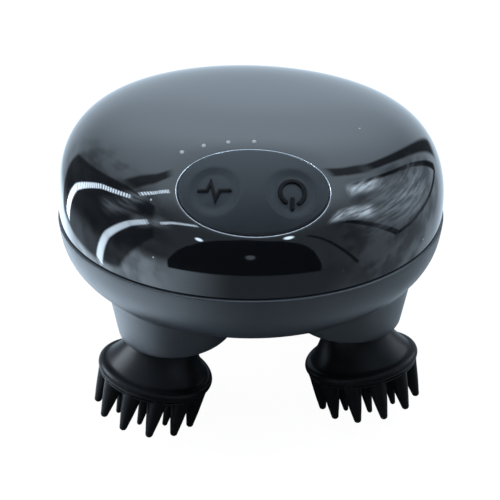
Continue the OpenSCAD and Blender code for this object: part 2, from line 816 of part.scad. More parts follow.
module light_pins() {
    color("#e9edf0") intersection() {
        at_lights() translate([0, 0, -board_depth + led_h]) cylinder(h = 2 * board_depth, d = light_d);
        at_crown() crown_solid(0);
    }
}

module control_board() {
    color("#1d5a38") difference() {
        at_panel() translate([0, board_shift, -board_depth - board_t])
            linear_extrude(board_t) rounded_rect(board_w, board_l, board_l * 0.4);
        at_board_screws() translate([0, 0, -board_t - cut])
            cylinder(h = board_t + 2 * cut, r = small_screw_d / 2 + screw_gap);
    }
}

module controller_chip() {
    color("#18191b") at_panel()
        translate([-chip_w / 2, board_shift - chip_w / 2, -board_depth - board_t - chip_h])
        cube([chip_w, chip_w, chip_h]);
}

module indicator_lights() {
    color("#f4f0d8") at_lights() translate([-led_w / 2, -led_w / 2, -board_depth])
        cube([led_w, led_w, led_h]);
}

module tact_switches() {
    color("#9aa0a6") for (x = [-1, 1]) at_buttons(x * button_x) {
        translate([-switch_w / 2, -switch_w / 2, -board_depth]) cube([switch_w, switch_w, switch_h]);
        translate([0, 0, -board_depth + switch_h]) cylinder(h = stem_h, d = stem_d);
    }
}

module board_screws() {
    color("#b9bdc2") {
        at_board_screws() translate([0, 0, -board_t]) mirror([0, 0, 1])
            screw(small_screw_d, small_screw_l, small_head_d, small_head_h);
        at_charge_screws() translate([0, 0, charge_board_top])
            screw(small_screw_d, small_screw_l, small_head_d, small_head_h);
    }
}

module chassis_plate() {
    color("#3b3e43") difference() {
        union() {
            at_seam() translate([0, 0, plate_bottom]) cylinder(h = plate_t, r = plate_r);
            at_charge_screws() cylinder(h = charge_board_top - board_t, d = board_post_d);
        }
        for (a = LEGS) at_leg(a) translate([0, 0, -plate_t])
            cylinder(h = 2 * plate_t, r = bush_d / 2 + set_gap);
        at_seam() translate([0, 0, -plate_t]) cylinder(h = 2 * plate_t, d = sun_hub_d + 2 * axial_gap);
        at_seam() translate([0, idler_r, -plate_t])
            cylinder(h = 2 * plate_t, r = idler_axle_d / 2 + set_gap);
        at_cover_screws() translate([0, 0, -plate_t])
            cylinder(h = 2 * plate_t, d = cover_post_d + 2 * plate_gap);
        at_chassis_screws() translate([0, 0, -plate_t])
            cylinder(h = 2 * plate_t, r = small_screw_d / 2 + screw_gap);
        at_bracket_legs() translate([0, 0, -plate_t]) cylinder(h = 2 * plate_t, d = small_screw_d);
        at_charge_screws() translate([0, 0, charge_board_top - small_screw_l - pilot_end])
            cylinder(h = small_screw_l + pilot_end, d = small_screw_d);
    }
}

module chassis_screws() {
    color("#b9bdc2") at_chassis_screws() translate([0, 0, plate_top])
        screw(small_screw_d, chassis_screw_l, small_head_d, small_head_h);
}

module cover_screws() {
    color("#8d9196") at_cover_screws() translate([0, 0, -cover_screw_seat]) mirror([0, 0, 1])
        screw(case_screw_d, case_screw_l, case_head_d, case_head_h);
}

module battery_cell() {
    color("#aeb4ba") at_seam() translate([0, -cell_y, plate_top + pad_t])
        linear_extrude(cell_t) rounded_rect(cell_w, cell_l, cell_round);
}

module battery_pad() {
    color("#5b5f66") difference() {
        at_seam() translate([0, -cell_y, plate_top])
            linear_extrude(pad_t) rounded_rect(cell_w - 2 * pad_in, cell_l - 2 * pad_in, cell_round);
    }
}

module charge_board() {
    color("#1d5a38") difference() {
        at_seam() translate([0, charge_board_y, charge_board_top - board_t])
            linear_extrude(board_t) rounded_rect(charge_board_w, charge_board_l, 1);
        at_charge_screws() translate([0, 0, charge_board_top - board_t - cut])
            cylinder(h = board_t + 2 * cut, r = small_screw_d / 2 + screw_gap);
    }
}

module charge_socket() {
    color("#c3c7cc") at_seam() translate([0, port_r - flap_t - flap_gap - plug_l - socket_l, socket_z])
        rotate([-90, 0, 0]) {
        difference() {
            linear_extrude(socket_l) rounded_rect(socket_w, socket_h, socket_h / 2 - 0.01);
            translate([0, 0, socket_wall]) linear_extrude(socket_l)
                rounded_rect(socket_w - 2 * socket_wall, socket_h - 2 * socket_wall, socket_h / 2 - socket_wall - 0.01);
        }
        translate([-socket_w * 0.37, -socket_h * 0.11, 0])
            cube([socket_w * 0.74, socket_h * 0.22, socket_l - 1.2]);
    }
}

module port_cover() {
    color("#1b1c1f") {
        intersection() {
            difference() {
                at_crown() crown_solid(0);
                at_crown() crown_solid(flap_t);
            }
            port_shape(flap_w, flap_h, -flap_gap);
            at_seam() translate([-flap_w, 0, flap_pivot_z]) cube([2 * flap_w, body_r, crown_h]);
        }
        // Round hinge bead along the lower edge
        at_seam() translate([-(flap_w - flap_h) / 2, flap_pivot_r, flap_pivot_z]) rotate([0, 90, 0])
            cylinder(h = flap_w - flap_h, d = flap_t);
        at_seam() translate([0, port_r - flap_t - plug_l, socket_z]) rotate([-90, 0, 0])
            linear_extrude(plug_l + flap_t / 2) rounded_rect(plug_w, plug_h, plug_h / 2 - 0.01);
    }
}

module motor_bracket() {
    arm_w = bracket_leg_d;
    color("#3b3e43") difference() {
        union() {
            at_seam() translate([0, 0, bracket_z]) linear_extrude(bracket_t) {
                circle(d = motor_d);
                translate([0, idler_r]) circle(d = idler_axle_d * 4);
                translate([-idler_axle_d * 2, 0]) square([idler_axle_d * 4, idler_r]);
                for (y = [-1, 1]) translate([-bracket_leg_x, y * bracket_leg_y - arm_w / 2])
                    square([2 * bracket_leg_x, arm_w]);
            }
            at_bracket_legs() translate([0, 0, plate_top])
                cylinder(h = motor_z - plate_top, d = bracket_leg_d);
        }
        at_seam() translate([0, 0, bracket_z - cut])
            cylinder(h = bracket_t + 2 * cut, r = motor_boss_d / 2 + set_gap);
        at_seam() translate([0, idler_r, bracket_z - cut])
            cylinder(h = bracket_t + 2 * cut, r = idler_axle_d / 2 + set_gap);
        at_bracket_legs() cylinder(h = motor_z + cut, r = small_screw_d / 2 + screw_gap);
        at_motor_screws() cylinder(h = motor_z + cut, r = small_screw_d / 2 + screw_gap);
    }
}

module bracket_screws() {
    color("#b9bdc2") at_bracket_legs() translate([0, 0, motor_z])
        screw(small_screw_d, motor_z - plate_bottom, small_head_d, small_head_h);
}

module motor_can() {
    color("#a9adb2") difference() {
        union() {
            at_seam() translate([0, 0, motor_z]) cylinder(h = motor_h, d = motor_d);
            at_seam() translate([0, 0, bracket_z]) cylinder(h = bracket_t + motor_wall, d = motor_boss_d);
        }
        at_seam() translate([0, 0, motor_z + motor_wall])
            cylinder(h = motor_h, d = motor_d - 2 * motor_wall);
        at_seam() cylinder(h = motor_top, r = motor_shaft_d / 2 + run_gap);
        at_motor_screws() cylinder(h = motor_z + motor_wall + cut, d = small_screw_d);
    }
}

module motor_end_cap() {
    color("#17181a") difference() {
        at_seam() translate([0, 0, motor_top]) cylinder(h = end_cap_t, d = motor_d - motor_wall);
        at_seam() cylinder(h = shaft_top + end_float, r = motor_shaft_d / 2 + run_gap);
    }
}

module motor_terminals() {
    color("#c79a4b") at_seam() for (x = [-1, 1])
        translate([x * motor_screw_r, terminal_h, motor_top + end_cap_t])
            cube([terminal_h, 2 * terminal_h, terminal_h]);
}

module motor_screws() {
    color("#b9bdc2") at_motor_screws() translate([0, 0, bracket_z]) mirror([0, 0, 1])
        screw(small_screw_d, bracket_t + motor_wall, small_head_d, small_head_h);
}

module motor_shaft() {
    color("#c9ccd0") at_seam() translate([0, 0, idler_wheel_z - axial_gap / 2])
        cylinder(h = shaft_top - idler_wheel_z + axial_gap / 2, d = motor_shaft_d);
}

module motor_armature() {
    color("#b5722f") at_seam() translate([0, 0, motor_z + motor_wall + end_float])
        ring(armature_d, motor_shaft_d + 2 * set_gap, motor_h - motor_wall - 2 * end_float);
}

module motor_pinion() {
    color("#c79a4b") difference() {
        at_seam() translate([0, 0, idler_wheel_z])
            rotate([0, 0, motor_pinion_turn]) gear(pinion_teeth, wheel_module, wheel_play, wheel_face);
        at_seam() cylinder(h = motor_z, r = motor_shaft_d / 2 + set_gap);
    }
}

module idler_axle() {
    color("#c9ccd0") at_seam() translate([0, idler_r, plate_bottom])
        cylinder(h = motor_z - plate_bottom, d = idler_axle_d);
}

module idler_gear() {
    color("#e8e6df") difference() {
        at_seam() translate([0, idler_r, 0]) {
            translate([0, 0, sun_wheel_z - axial_gap / 2]) rotate([0, 0, idler_pinion_turn])
                gear(pinion_teeth, wheel_module, wheel_play, idler_wheel_z - sun_wheel_z + axial_gap);
            translate([0, 0, idler_wheel_z]) gear(wheel_teeth, wheel_module, wheel_play, wheel_face);
        }
        at_seam() translate([0, idler_r, 0]) cylinder(h = motor_z, r = idler_axle_d / 2 + run_gap);
    }
}

module sun_axle() {
    color("#c9ccd0") at_seam() translate([0, 0, -bowl_h + housing_wall])
        cylinder(h = bowl_h - housing_wall + hub_top, d = sun_axle_d);
}

module sun_gear() {
    color("#e8e6df") difference() {
        at_seam() {
            translate([0, 0, drive_bottom]) gear(sun_teeth, drive_module, drive_play, drive_face);
            translate([0, 0, hub_bottom]) cylinder(h = hub_top - hub_bottom, d = sun_hub_d);
        }
        at_seam() translate([0, 0, hub_bottom - cut])
            cylinder(h = hub_top - hub_bottom + 2 * cut, r = sun_axle_d / 2 + run_gap);
    }
}

module sun_wheel() {
    color("#d9d6cc") difference() {
        at_seam() translate([0, 0, sun_wheel_z]) gear(wheel_teeth, wheel_module, wheel_play, wheel_face);
        at_seam() cylinder(h = hub_top + cut, r = sun_hub_d / 2 + set_gap);
    }
}

module lower_bushes() {
    color("#b08d57") for (a = LEGS) at_leg(a) translate([0, 0, seal_top])
        ring(bush_d, journal_d + 2 * run_gap, lower_bush_l);
}

module upper_bushes() {
    color("#b08d57") for (a = LEGS) at_leg(a) difference() {
        union() {
            translate([0, 0, plate_bottom]) cylinder(h = plate_t, d = bush_d);
            translate([0, 0, plate_top]) cylinder(h = bush_flange_t, d = bush_flange_d);
        }
        translate([0, 0, -plate_t]) cylinder(h = 3 * plate_t, r = journal_d / 2 + run_gap);
    }
}

module shaft_seals() {
    color("#2c2e31") for (a = LEGS) at_leg(a) translate([0, 0, -ceiling_drop])
        ring(seal_d, journal_d + 2 * run_gap, seal_h);
}

module spindle(a) {
    color("#c9ccd0") {
        at_leg(a) translate([0, 0, collar_top - collar_t])
            cylinder(h = journal_top - collar_top + collar_t, d = journal_d);
        at_leg(a) translate([0, 0, collar_top - collar_t]) cylinder(h = collar_t, d = collar_d);
        at_leg(a) translate([0, 0, -pivot_drop])
            cylinder(h = pivot_drop + collar_top - collar_t + 0.2, d = knuckle_d * 0.8);
        at_head(a) sphere(d = knuckle_d);
        at_head(a) cylinder(h = tilt_pin_l, d = tilt_pin_d);
    }
}

module output_gear(a) {
    color("#e8e6df") difference() {
        union() {
            at_leg(a) translate([0, 0, drive_bottom])
                rotate([0, 0, mesh_turn(sun_teeth, out_teeth, a + leg_turn) - a - leg_turn])
                gear(out_teeth, drive_module, drive_play, drive_face);
            at_leg(a) translate([0, 0, drive_bottom - axial_gap / 2])
                cylinder(h = drive_face + axial_gap, d = out_hub_d);
        }
        at_leg(a) translate([0, 0, drive_bottom - cut])
            cylinder(h = drive_face + 2 * cut, r = journal_d / 2 + set_gap);
    }
}

module clip(a) {
    color("#6d7177") at_leg(a) translate([0, 0, bush_flange_top + 0.3]) difference() {
        cylinder(h = clip_t, d = clip_d);
        translate([0, 0, -cut]) cylinder(h = clip_t + 2 * cut, r = journal_d / 2 + set_gap);
        translate([0, -journal_d * 0.35, -cut]) cube([clip_d, journal_d * 0.7, clip_t + 2 * cut]);
    }
}

// The rigid core: a sleeve on the tilted pin and a disc that stiffens the head's rim
module core_solid(grow) {
    translate([0, 0, sleeve_top - grow]) cylinder(h = rim_reach - sleeve_top, r = sleeve_d / 2 + grow);
    translate([0, 0, rim_top - grow]) cylinder(h = core_disc_t + 2 * grow, r = core_disc_d / 2 + grow);
}

module head_core(a) {
    color("#d5d8da") difference() {
        at_head(a) core_solid(0);
        at_head(a) translate([0, 0, -cut])
            cylinder(h = tilt_pin_l + set_gap + cut, r = tilt_pin_d / 2 + set_gap);
    }
}

module tooth(ring_d, root_d, l, a, splay) {
    rotate([0, 0, a]) translate([ring_d / 2, 0, rim_bottom - root_in]) rotate([0, splay, 0]) {
        cylinder(h = l + root_in - tip_d / 2, d1 = root_d, d2 = tip_d, $fn = 24);
        translate([0, 0, l + root_in - tip_d / 2]) sphere(d = tip_d, $fn = 24);
    }
}

module massage_head(a) {
    steps = 8;
    roll = head_rim_t * 0.42;
    color("#141517") difference() {
        at_head(a) {
            rotate_extrude() polygon(concat(
                [[0, neck_top], [neck_d / 2 - 0.8, neck_top], [neck_d / 2, neck_top + 0.8]],
                [for (i = [0:steps]) [
                    neck_d / 2 + (flare_d - neck_d) / 2 * pow(i / steps, flare_curve),
                    flare_start + (rim_top + 0.6 - flare_start) * i / steps
                ]],
                [[head_d / 2 - roll, rim_top + 0.6], [head_d / 2 - 0.4, rim_reach + 0.2],
                 [head_d / 2 - 0.4, rim_bottom - 0.4], [head_d / 2 - 0.9, rim_bottom], [0, rim_bottom]]
            ));
            rotate_extrude() translate([head_d / 2 - roll, rim_top + roll]) circle(roll, $fn = 32);
            for (i = [0:outer_teeth - 1]) 
                tooth(outer_ring_d, outer_root_d, outer_tooth_l, 180 + i * 360 / outer_teeth, outer_splay);
            for (i = [0:inner_teeth - 1]) 
                tooth(inner_ring_d, inner_root_d, inner_tooth_l, i * 360 / inner_teeth, 0);
            tooth(0, inner_root_d, inner_tooth_l, 0, 0);
        }
        at_head(a) core_solid(set_gap);
        at_head(a) cylinder(h = rim_reach, r = sleeve_d / 2 + set_gap);
    }
}

top_cover();
bottom_housing();
seam_gasket();
keypad();
power_button();
pulse_button();
light_pins();
control_board();
controller_chip();
indicator_lights();
tact_switches();
board_screws();
chassis_plate();
chassis_screws();
cover_screws();
battery_cell();
battery_pad();
charge_board();
charge_socket();
port_cover();
motor_bracket();
bracket_screws();
motor_can();
motor_end_cap();
motor_terminals();
motor_screws();
motor_shaft();
motor_armature();
motor_pinion();
idler_axle();
idler_gear();
sun_axle();
sun_gear();
sun_wheel();
lower_bushes();
upper_bushes();
shaft_seals();
spindle(225);  // front_left_spindle
spindle(315);  // front_right_spindle
spindle(135);  // rear_left_spindle
spindle(45);  // rear_right_spindle
output_gear(225);  // front_left_gear
output_gear(315);  // front_right_gear
output_gear(135);  // rear_left_gear
output_gear(45);  // rear_right_gear
clip(225);  // front_left_clip
clip(315);  // front_right_clip
clip(135);  // rear_left_clip
clip(45);  // rear_right_clip
head_core(225);  // front_left_core
head_core(315);  // front_right_core
head_core(135);  // rear_left_core
head_core(45);  // rear_right_core
massage_head(225);  // front_left_head
massage_head(315);  // front_right_head
massage_head(135);  // rear_left_head
massage_head(45);  // rear_right_head
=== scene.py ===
import bmesh
import bpy
from math import asin, atan2, cos, hypot, inf, pi, radians, sin, sqrt
from mathutils import Matrix, Vector
from mathutils.geometry import delaunay_2d_cdt


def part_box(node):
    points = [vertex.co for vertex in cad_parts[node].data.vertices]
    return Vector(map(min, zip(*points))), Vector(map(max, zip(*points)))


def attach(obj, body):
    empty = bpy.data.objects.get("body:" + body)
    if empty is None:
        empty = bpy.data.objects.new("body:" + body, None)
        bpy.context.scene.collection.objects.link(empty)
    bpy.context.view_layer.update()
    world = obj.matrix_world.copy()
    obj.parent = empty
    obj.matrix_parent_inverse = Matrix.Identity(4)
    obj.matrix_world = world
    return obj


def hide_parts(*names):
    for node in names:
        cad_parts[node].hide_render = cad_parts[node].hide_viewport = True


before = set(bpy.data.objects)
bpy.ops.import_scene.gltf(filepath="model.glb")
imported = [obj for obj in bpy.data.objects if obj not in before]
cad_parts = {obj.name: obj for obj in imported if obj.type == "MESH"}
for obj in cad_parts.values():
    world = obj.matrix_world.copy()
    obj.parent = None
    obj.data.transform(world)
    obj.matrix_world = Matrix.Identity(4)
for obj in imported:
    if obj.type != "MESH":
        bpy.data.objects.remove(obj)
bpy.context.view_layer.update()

# ---------------------------------------------------------------- camera
# A lens held close above the button side, looking down on the cover. It and all pieces
# are set out in millimetres from the seam, whose height is read from the frame's gasket.
mm = 0.001
gasket_rise = 0.3
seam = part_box("seam_gasket")[1].z / mm - gasket_rise
lens_reach, lens_height = 165.0, radians(25.6)
lens_dip, lens_roll, lens_swing = 30.81, -0.06, 0.11


def show(name, data):
    """A new object of the scene."""
    made = bpy.data.objects.new(name, data)
    bpy.context.scene.collection.objects.link(made)
    return made


camera_data = bpy.data.cameras.new("camera")
camera_data.sensor_width = 36
camera_data.lens = 45.0
camera_data.clip_start = 0.01
camera = show("camera", camera_data)
camera.location = (0, -lens_reach * cos(lens_height) * mm,
                   (seam + lens_reach * sin(lens_height)) * mm)
camera.rotation_euler = [radians(turn) for turn in (90 - lens_dip, lens_roll, lens_swing)]
bpy.context.scene.camera = camera
bpy.context.scene.view_settings.view_transform = "Standard"

# ---------------------------------------------------------------- light tent
# The massager stands in a white fabric tent: a bright ceiling, paler walls, two light
# strips on the left wall, a sewn flap on the right one, and a dark opening in front.
# The camera sees plain white. Gloss sees the tent, through the floor as well. Places in
# the tent are (azimuth, height) in degrees, with azimuth clockwise from straight behind.
world = bpy.data.worlds.new("light_tent")
bpy.context.scene.world = world
world.use_nodes = True
sky = world.node_tree
sky.nodes.clear()


def toward(azimuth, height):
    """The direction of a place in the tent."""
    a, e = radians(azimuth), radians(height)
    return Vector((sin(a) * cos(e), cos(a) * cos(e), sin(e)))


def wire(tree, value, socket):
    """Puts a number, a vector or another node's output into a socket."""
    if isinstance(value, bpy.types.NodeSocket):
        tree.links.new(value, socket)
    else:
        socket.default_value = value


def feed(tree, made, **inputs):
    """Fills a node's inputs, by name."""
    for name, value in inputs.items():
        wire(tree, value, made.inputs[name.replace("_", " ")])


def node(tree, kind, **values):
    """A new node. Names in small letters are its settings, and the others its inputs."""
    made = tree.nodes.new(kind)
    for name, value in values.items():
        if name.islower():
            setattr(made, name, value)
        else:
            feed(tree, made, **{name: value})
    return made


def calc(tree, operation, a, b=0.0):
    made = node(tree, "ShaderNodeMath", operation=operation)
    wire(tree, a, made.inputs[0])
    wire(tree, b, made.inputs[1])
    return made.outputs[0]


def ramp(tree, value, low, high, bottom=0.0, top=1.0):
    """A soft step of value, from bottom at low to top at high."""
    return node(tree, "ShaderNodeMapRange", interpolation_type="SMOOTHSTEP", Value=value,
                From_Min=low, From_Max=high, To_Min=bottom, To_Max=top).outputs[0]


def noise(tree, vector, scale, detail=3.0, rough=0.5):
    return node(tree, "ShaderNodeTexNoise", Vector=vector, Scale=scale, Detail=detail,
                Roughness=rough).outputs["Fac"]


def two_tones(tree, share, first, second):
    """A colour between two, by a share from 0 to 1."""
    made = node(tree, "ShaderNodeMix", data_type="RGBA")
    for number, value in ((0, share), (6, (*first, 1)), (7, (*second, 1))):
        wire(tree, value, made.inputs[number])
    return made.outputs[2]


def shining(tree, kind, colour, strength=1.0):
    """A background or emission shader."""
    return node(tree, kind, Color=(*colour, 1), Strength=strength).outputs[0]


def mix_shaders(tree, share, first, second):
    made = node(tree, "ShaderNodeMixShader")
    for value, socket in zip((share, first, second), made.inputs):
        tree.links.new(value, socket)
    return made.outputs[0]


gaze = node(sky, "ShaderNodeTexCoord").outputs["Generated"]


def along(vector):
    """How far the gaze points along a vector."""
    made = node(sky, "ShaderNodeVectorMath", operation="DOT_PRODUCT", Vector=gaze)
    wire(sky, vector, made.inputs[1])
    return made.outputs["Value"]


def times(a, b):
    return calc(sky, "MULTIPLY", a, b)


def dimmed(level, mask, depth=1.0):
    """The level, lowered by a share of itself where the mask is 1."""
    return times(level, calc(sky, "SUBTRACT", 1.0, times(mask, depth)))


def lit(level, mask, strength):
    """The level, raised by a strength where the mask is 1."""
    return calc(sky, "ADD", level, times(mask, strength))


def band(start, end, half_width, soft=0.35, beads=0):
    """1 in a band between two places, 0 outside it. Beads break it into a row of dots."""
    a, b = toward(*start), toward(*end)
    across, middle = a.cross(b).normalized(), (a + b).normalized()
    half = sin(a.angle(b) / 2)
    width = sin(radians(half_width))
    aside = calc(sky, "ABSOLUTE", along(across))
    length = along(across.cross(middle))
    sides = ramp(sky, aside, width * (1 - soft), width * (1 + soft), 1, 0)
    ends = ramp(sky, calc(sky, "ABSOLUTE", length), half - width, half + width, 1, 0)
    ahead = ramp(sky, along(middle), 0.0, 0.05)
    mask = times(times(sides, ends), ahead)
    if beads:
        wave = calc(sky, "SINE", times(length, beads))
        mask = times(mask, ramp(sky, wave, -0.7, 0.5, 0.12, 1.0))
    return mask


def patch(corners, soft):
    """1 inside corners that run clockwise as seen from the object, with soft sides."""
    mask, blur = None, sin(radians(soft))
    for first, second in zip(corners, corners[1:] + corners[:1]):
        inward = toward(*first).cross(toward(*second)).normalized()
        side = ramp(sky, along(inward), -blur, blur)
        mask = side if mask is None else times(mask, side)
    return mask


def glow(centre, radius):
    """A soft round spot."""
    return ramp(sky, along(toward(*centre)), cos(radians(radius)),
                cos(radians(radius * 0.35)))


gaze_x, gaze_y, gaze_z = node(sky, "ShaderNodeSeparateXYZ", Vector=gaze).outputs
level = ramp(sky, gaze_z, 0.3, 0.92, 1.02, 2.7)
# The back wall is brighter, the floor darker in front and far brighter on the left
level = times(level, ramp(sky, gaze_y, 0.4, 0.98, 1.0, 1.28))
front_wall = times(ramp(sky, gaze_y, -0.35, -0.65), ramp(sky, gaze_z, 0.86, 0.72))
level = dimmed(level, front_wall, 0.5)
tent_floor = ramp(sky, gaze_z, -0.2, -0.36)
level = dimmed(level, times(tent_floor, ramp(sky, gaze_y, 0.1, -0.7, 0.0, 0.25)))
level = lit(level, tent_floor, ramp(sky, gaze_x, -0.12, -0.9, 0.0, 3.4))
# Folds in the side walls' fabric
side_walls = ramp(sky, calc(sky, "ABSOLUTE", gaze_x), 0.55, 0.85)
folds = ramp(sky, noise(sky, gaze, 5.0, 4.0), 0.36, 0.62, 0.5, 0.0)
level = dimmed(level, times(side_walls, folds))
# Dark: the left panel, its upper corner, and the seams round the flap on the right. Each
# row is a band's two ends, its half width and its depth
left_panel = patch([(-52, 8), (-46, -22), (-100, -29), (-128, 0), (-122, 28), (-96, 32)], 1.5)
level = dimmed(level, left_panel, 0.86)
for start, end, half_width, depth in (
        ((-97, 66), (-95, 33), 5.0, 0.85), ((88, 68), (68, 45), 5.0, 0.85),
        ((68, 45), (36, -6), 3.5, 0.92), ((95, 45), (62, 20), 1.7, 0.95),
        ((62, 20), (46, -6), 1.7, 0.95), ((46, -6), (94, -11.5), 1.2, 0.9),
        ((94, -11.5), (134, 24), 1.6, 0.93), ((120, -20), (151, 19), 0.9, 0.85)):
    level = dimmed(level, band(start, end, half_width), depth)
# Bright streaks of fabric where the lamps shine through the walls, with their strength
drawn_out = node(sky, "ShaderNodeMapping", Vector=gaze, Scale=(1.0, 0.45, 2.6))
weave = ramp(sky, noise(sky, drawn_out.outputs[0], 9.0, 5.0), 0.36, 0.66, 0.2, 1.0)
for start, end, half_width, strength in (
        ((86, 33), (106, 44), 5.0, 11.0), ((107, 16), (134, 29), 4.5, 12.0),
        ((66, 5), (106, 15), 13.0, 2.8), ((-92, 5), (-110, 19), 5.0, 1.5),
        ((-100, 23), (-112, 30), 3.5, 3.0), ((-114, 7), (-134, 17), 4.0, 2.4)):
    level = lit(level, times(band(start, end, half_width, 0.9), weave), strength)
# The arched opening, its two small lamps and a paler patch, and the strips of beads
opening = patch([(-178, 22), (-164, 16.5), (-152, 5.5), (-142, -4.5), (-135, -15), (-134, -30),
                 (141, -30), (142, -15), (147, -2), (154, 9), (164, 18)], 0.6)
level = dimmed(level, times(opening, ramp(sky, gaze_z, -0.355, -0.335, 0.0, 0.985)))
for centre, radius, strength in (
        ((-154, 11.5), 2.6, 26.0), ((160.5, 21.5), 3.0, 26.0), ((180, -3), 3.2, 1.4)):
    level = lit(level, glow(centre, radius), strength)
strips = None
for path, half_width in (
        (((-54, -21), (-66, -3), (-84, 15.5), (-104, 25)), 1.8),
        (((-83, -29), (-96, -13.5), (-112, 3.5), (-122, 11)), 1.9),
        (((-107, 32), (-116, 43.5), (-129, 54)), 1.6),
        (((-130, 14), (-142, 23), (-154, 30.5)), 1.1)):
    for start, end in zip(path, path[1:]):
        mask = band(start, end, half_width, 0.3, beads=190)
        strips = mask if strips is None else calc(sky, "MAXIMUM", strips, mask)
level = lit(level, strips, 20.0)

rays = node(sky, "ShaderNodeLightPath").outputs
tent = shining(sky, "ShaderNodeBackground", (0.7, 0.85, 1.0), level)
fill = shining(sky, "ShaderNodeBackground", (0.84, 0.93, 1.0), 0.62)
plain = shining(sky, "ShaderNodeBackground", (1, 1, 1))
in_gloss = calc(sky, "MAXIMUM", rays["Is Glossy Ray"], rays["Is Transmission Ray"])
around_it = mix_shaders(sky, rays["Is Camera Ray"], mix_shaders(sky, in_gloss, fill, tent), plain)
node(sky, "ShaderNodeOutputWorld", Surface=around_it)

# The floor is white card with a faint shadow. Near the massager, glossy rays see it in a dark
# bluish tone, which is painted shade of the floor in the massager's own shade. Away from the
# massager it lets glossy rays through to the tent, and its underside is clear, so that the massager
# shows from below.
card = bmesh.new()
bmesh.ops.create_grid(card, x_segments=8, y_segments=8, size=3.0)
floor_mesh = bpy.data.meshes.new("floor")
card.to_mesh(floor_mesh)
card.free()
floor = show("floor", floor_mesh)
white_card = bpy.data.materials.new("white_card")
white_card.use_nodes = True
sheet = white_card.node_tree
sheet.nodes.clear()
paths = node(sheet, "ShaderNodeLightPath").outputs
oval = node(sheet, "ShaderNodeVectorMath", operation="MULTIPLY",
            Vector=node(sheet, "ShaderNodeTexCoord").outputs["Object"])
wire(sheet, (1.6, 1.0, 1.0), oval.inputs[1])
away = node(sheet, "ShaderNodeVectorMath", operation="LENGTH", Vector=oval.outputs[0])
# Glossy rays see the card dark bluish instead of white: painted shade of the floor near the
# massager.
card_shaded_in_gloss = node(sheet, "ShaderNodeBsdfDiffuse", Color=two_tones(
    sheet, paths["Is Glossy Ray"], (0.8, 0.8, 0.8), (0.1, 0.135, 0.17)))
white = shining(sheet, "ShaderNodeEmission", (1, 1, 1), 1.04)
whitened = mix_shaders(sheet, calc(sheet, "MULTIPLY", paths["Is Camera Ray"], 0.93),
                       card_shaded_in_gloss.outputs[0], white)
see_past = calc(sheet, "MULTIPLY", paths["Is Glossy Ray"],
                ramp(sheet, away.outputs["Value"], 0.06, 0.1))
for also in (paths["Is Transmission Ray"],
             node(sheet, "ShaderNodeNewGeometry").outputs["Backfacing"]):
    see_past = calc(sheet, "MAXIMUM", see_past, also)
clear = node(sheet, "ShaderNodeBsdfTransparent").outputs[0]
node(sheet, "ShaderNodeOutputMaterial", Surface=mix_shaders(sheet, see_past, whitened, clear))
floor_mesh.materials.append(white_card)


def add_lamp(name, place, size, power, aim_height, colour=(1, 1, 1)):
    """A square lamp at a place in metres, turned to a height on the massager's axis."""
    lamp = bpy.data.lights.new(name, "AREA")
    lamp.size, lamp.energy, lamp.color = size, power, colour
    holder = show(name, lamp)
    holder.location = place
    aim = Vector((0, 0, aim_height)) - Vector(place)
    holder.rotation_euler = aim.to_track_quat("-Z", "Y").to_euler()
    return holder


# Two broad soft lamps, above and from the left, shape the matt pieces
for name, place, size, power in (("ceiling_lamp", (0.05, 0.12, 0.75), 0.7, 6.5),
                                 ("left_lamp", (-0.62, 0.02, 0.3), 0.45, 3.6)):
    add_lamp(name, place, size, power, 0.04).visible_glossy = False

# ---------------------------------------------------------------- top cover
# One glossy black moulding: a flat-topped dome that leans a little, with an oval opening
# whose edge is rolled in, four holes for lights, and a recess at the rear for the port.
crown_r, crown_h = 48.5, 26.8
crown_square, crown_rise = 4.8, 2.28
crown_lean = radians(1.5)
cover_wall = 2.0
panel_at = 49.0
panel_a, panel_b = 14.7, 9.0
light_step = 14.3
light_spots = [(-(panel_a + 6.3) * sin(radians(light_step * i)),
                (panel_b + 2.5) * cos(radians(light_step * i))) for i in range(4)]
light_hole = 0.5
port_z, port_w, port_h = 7.5, 13.0, 7.0
recess_in, inlet_w, inlet_h = 1.25, 9.7, 4.0
at_seam = Matrix.Translation((0, 0, seam))
to_crown = at_seam @ Matrix.Rotation(crown_lean, 4, "Y")
halvings, farthest, behind_panel = 40, 130.0, 14.0


def crown_outline(angle):
    """The dome's radius and height at an angle of its superellipse."""
    t = radians(angle)
    return (crown_r * cos(t) ** (2 / crown_square),
            crown_h * sin(t) ** (2 / crown_rise))


def crown_radius(z, depth=0.0):
    """The dome's radius at a height above the seam, set in by a depth."""
    if z <= 0:
        return crown_r - depth
    share = min(1.0, z / (crown_h - depth))
    return (crown_r - depth) * (1 - share ** crown_rise) ** (1 / crown_square)


def on_crown(origin, direction, depth=0.0):
    """Where a line that starts inside the dome leaves it, in the dome's own frame."""
    low, high = 0.0, farthest
    for _ in range(halvings):
        middle = (low + high) / 2
        p = origin + direction * middle
        inside = p.z < crown_h - depth and hypot(p.x, p.y) < crown_radius(p.z, depth)
        low, high = (middle, high) if inside else (low, middle)
    return origin + direction * low


panel_r, panel_z = crown_outline(panel_at)
(below_r, below_z), (above_r, above_z) = crown_outline(panel_at - 1), crown_outline(panel_at + 1)
panel_tilt = atan2(above_z - below_z, below_r - above_r)
panel_frame = Matrix.Translation((0, -panel_r, panel_z)) @ Matrix.Rotation(panel_tilt, 4, "X")
panel_normal = panel_frame.to_3x3() @ Vector((0, 0, 1))


def on_panel(x, y, depth=0.0):
    """The point of the dome over x, y of the panel's plane, sunk by a depth."""
    return on_crown(panel_frame @ Vector((x, y, -behind_panel)), panel_normal, depth)


def ellipse(a, b, count):
    """Points round an ellipse about the origin, as x, y."""
    turns = [2 * pi * i / count for i in range(count)]
    return [(a * cos(t), b * sin(t)) for t in turns]


def ring(r, z, count):
    """Points round a level circle about the axis."""
    return [(x, y, z) for x, y in ellipse(r, r, count)]


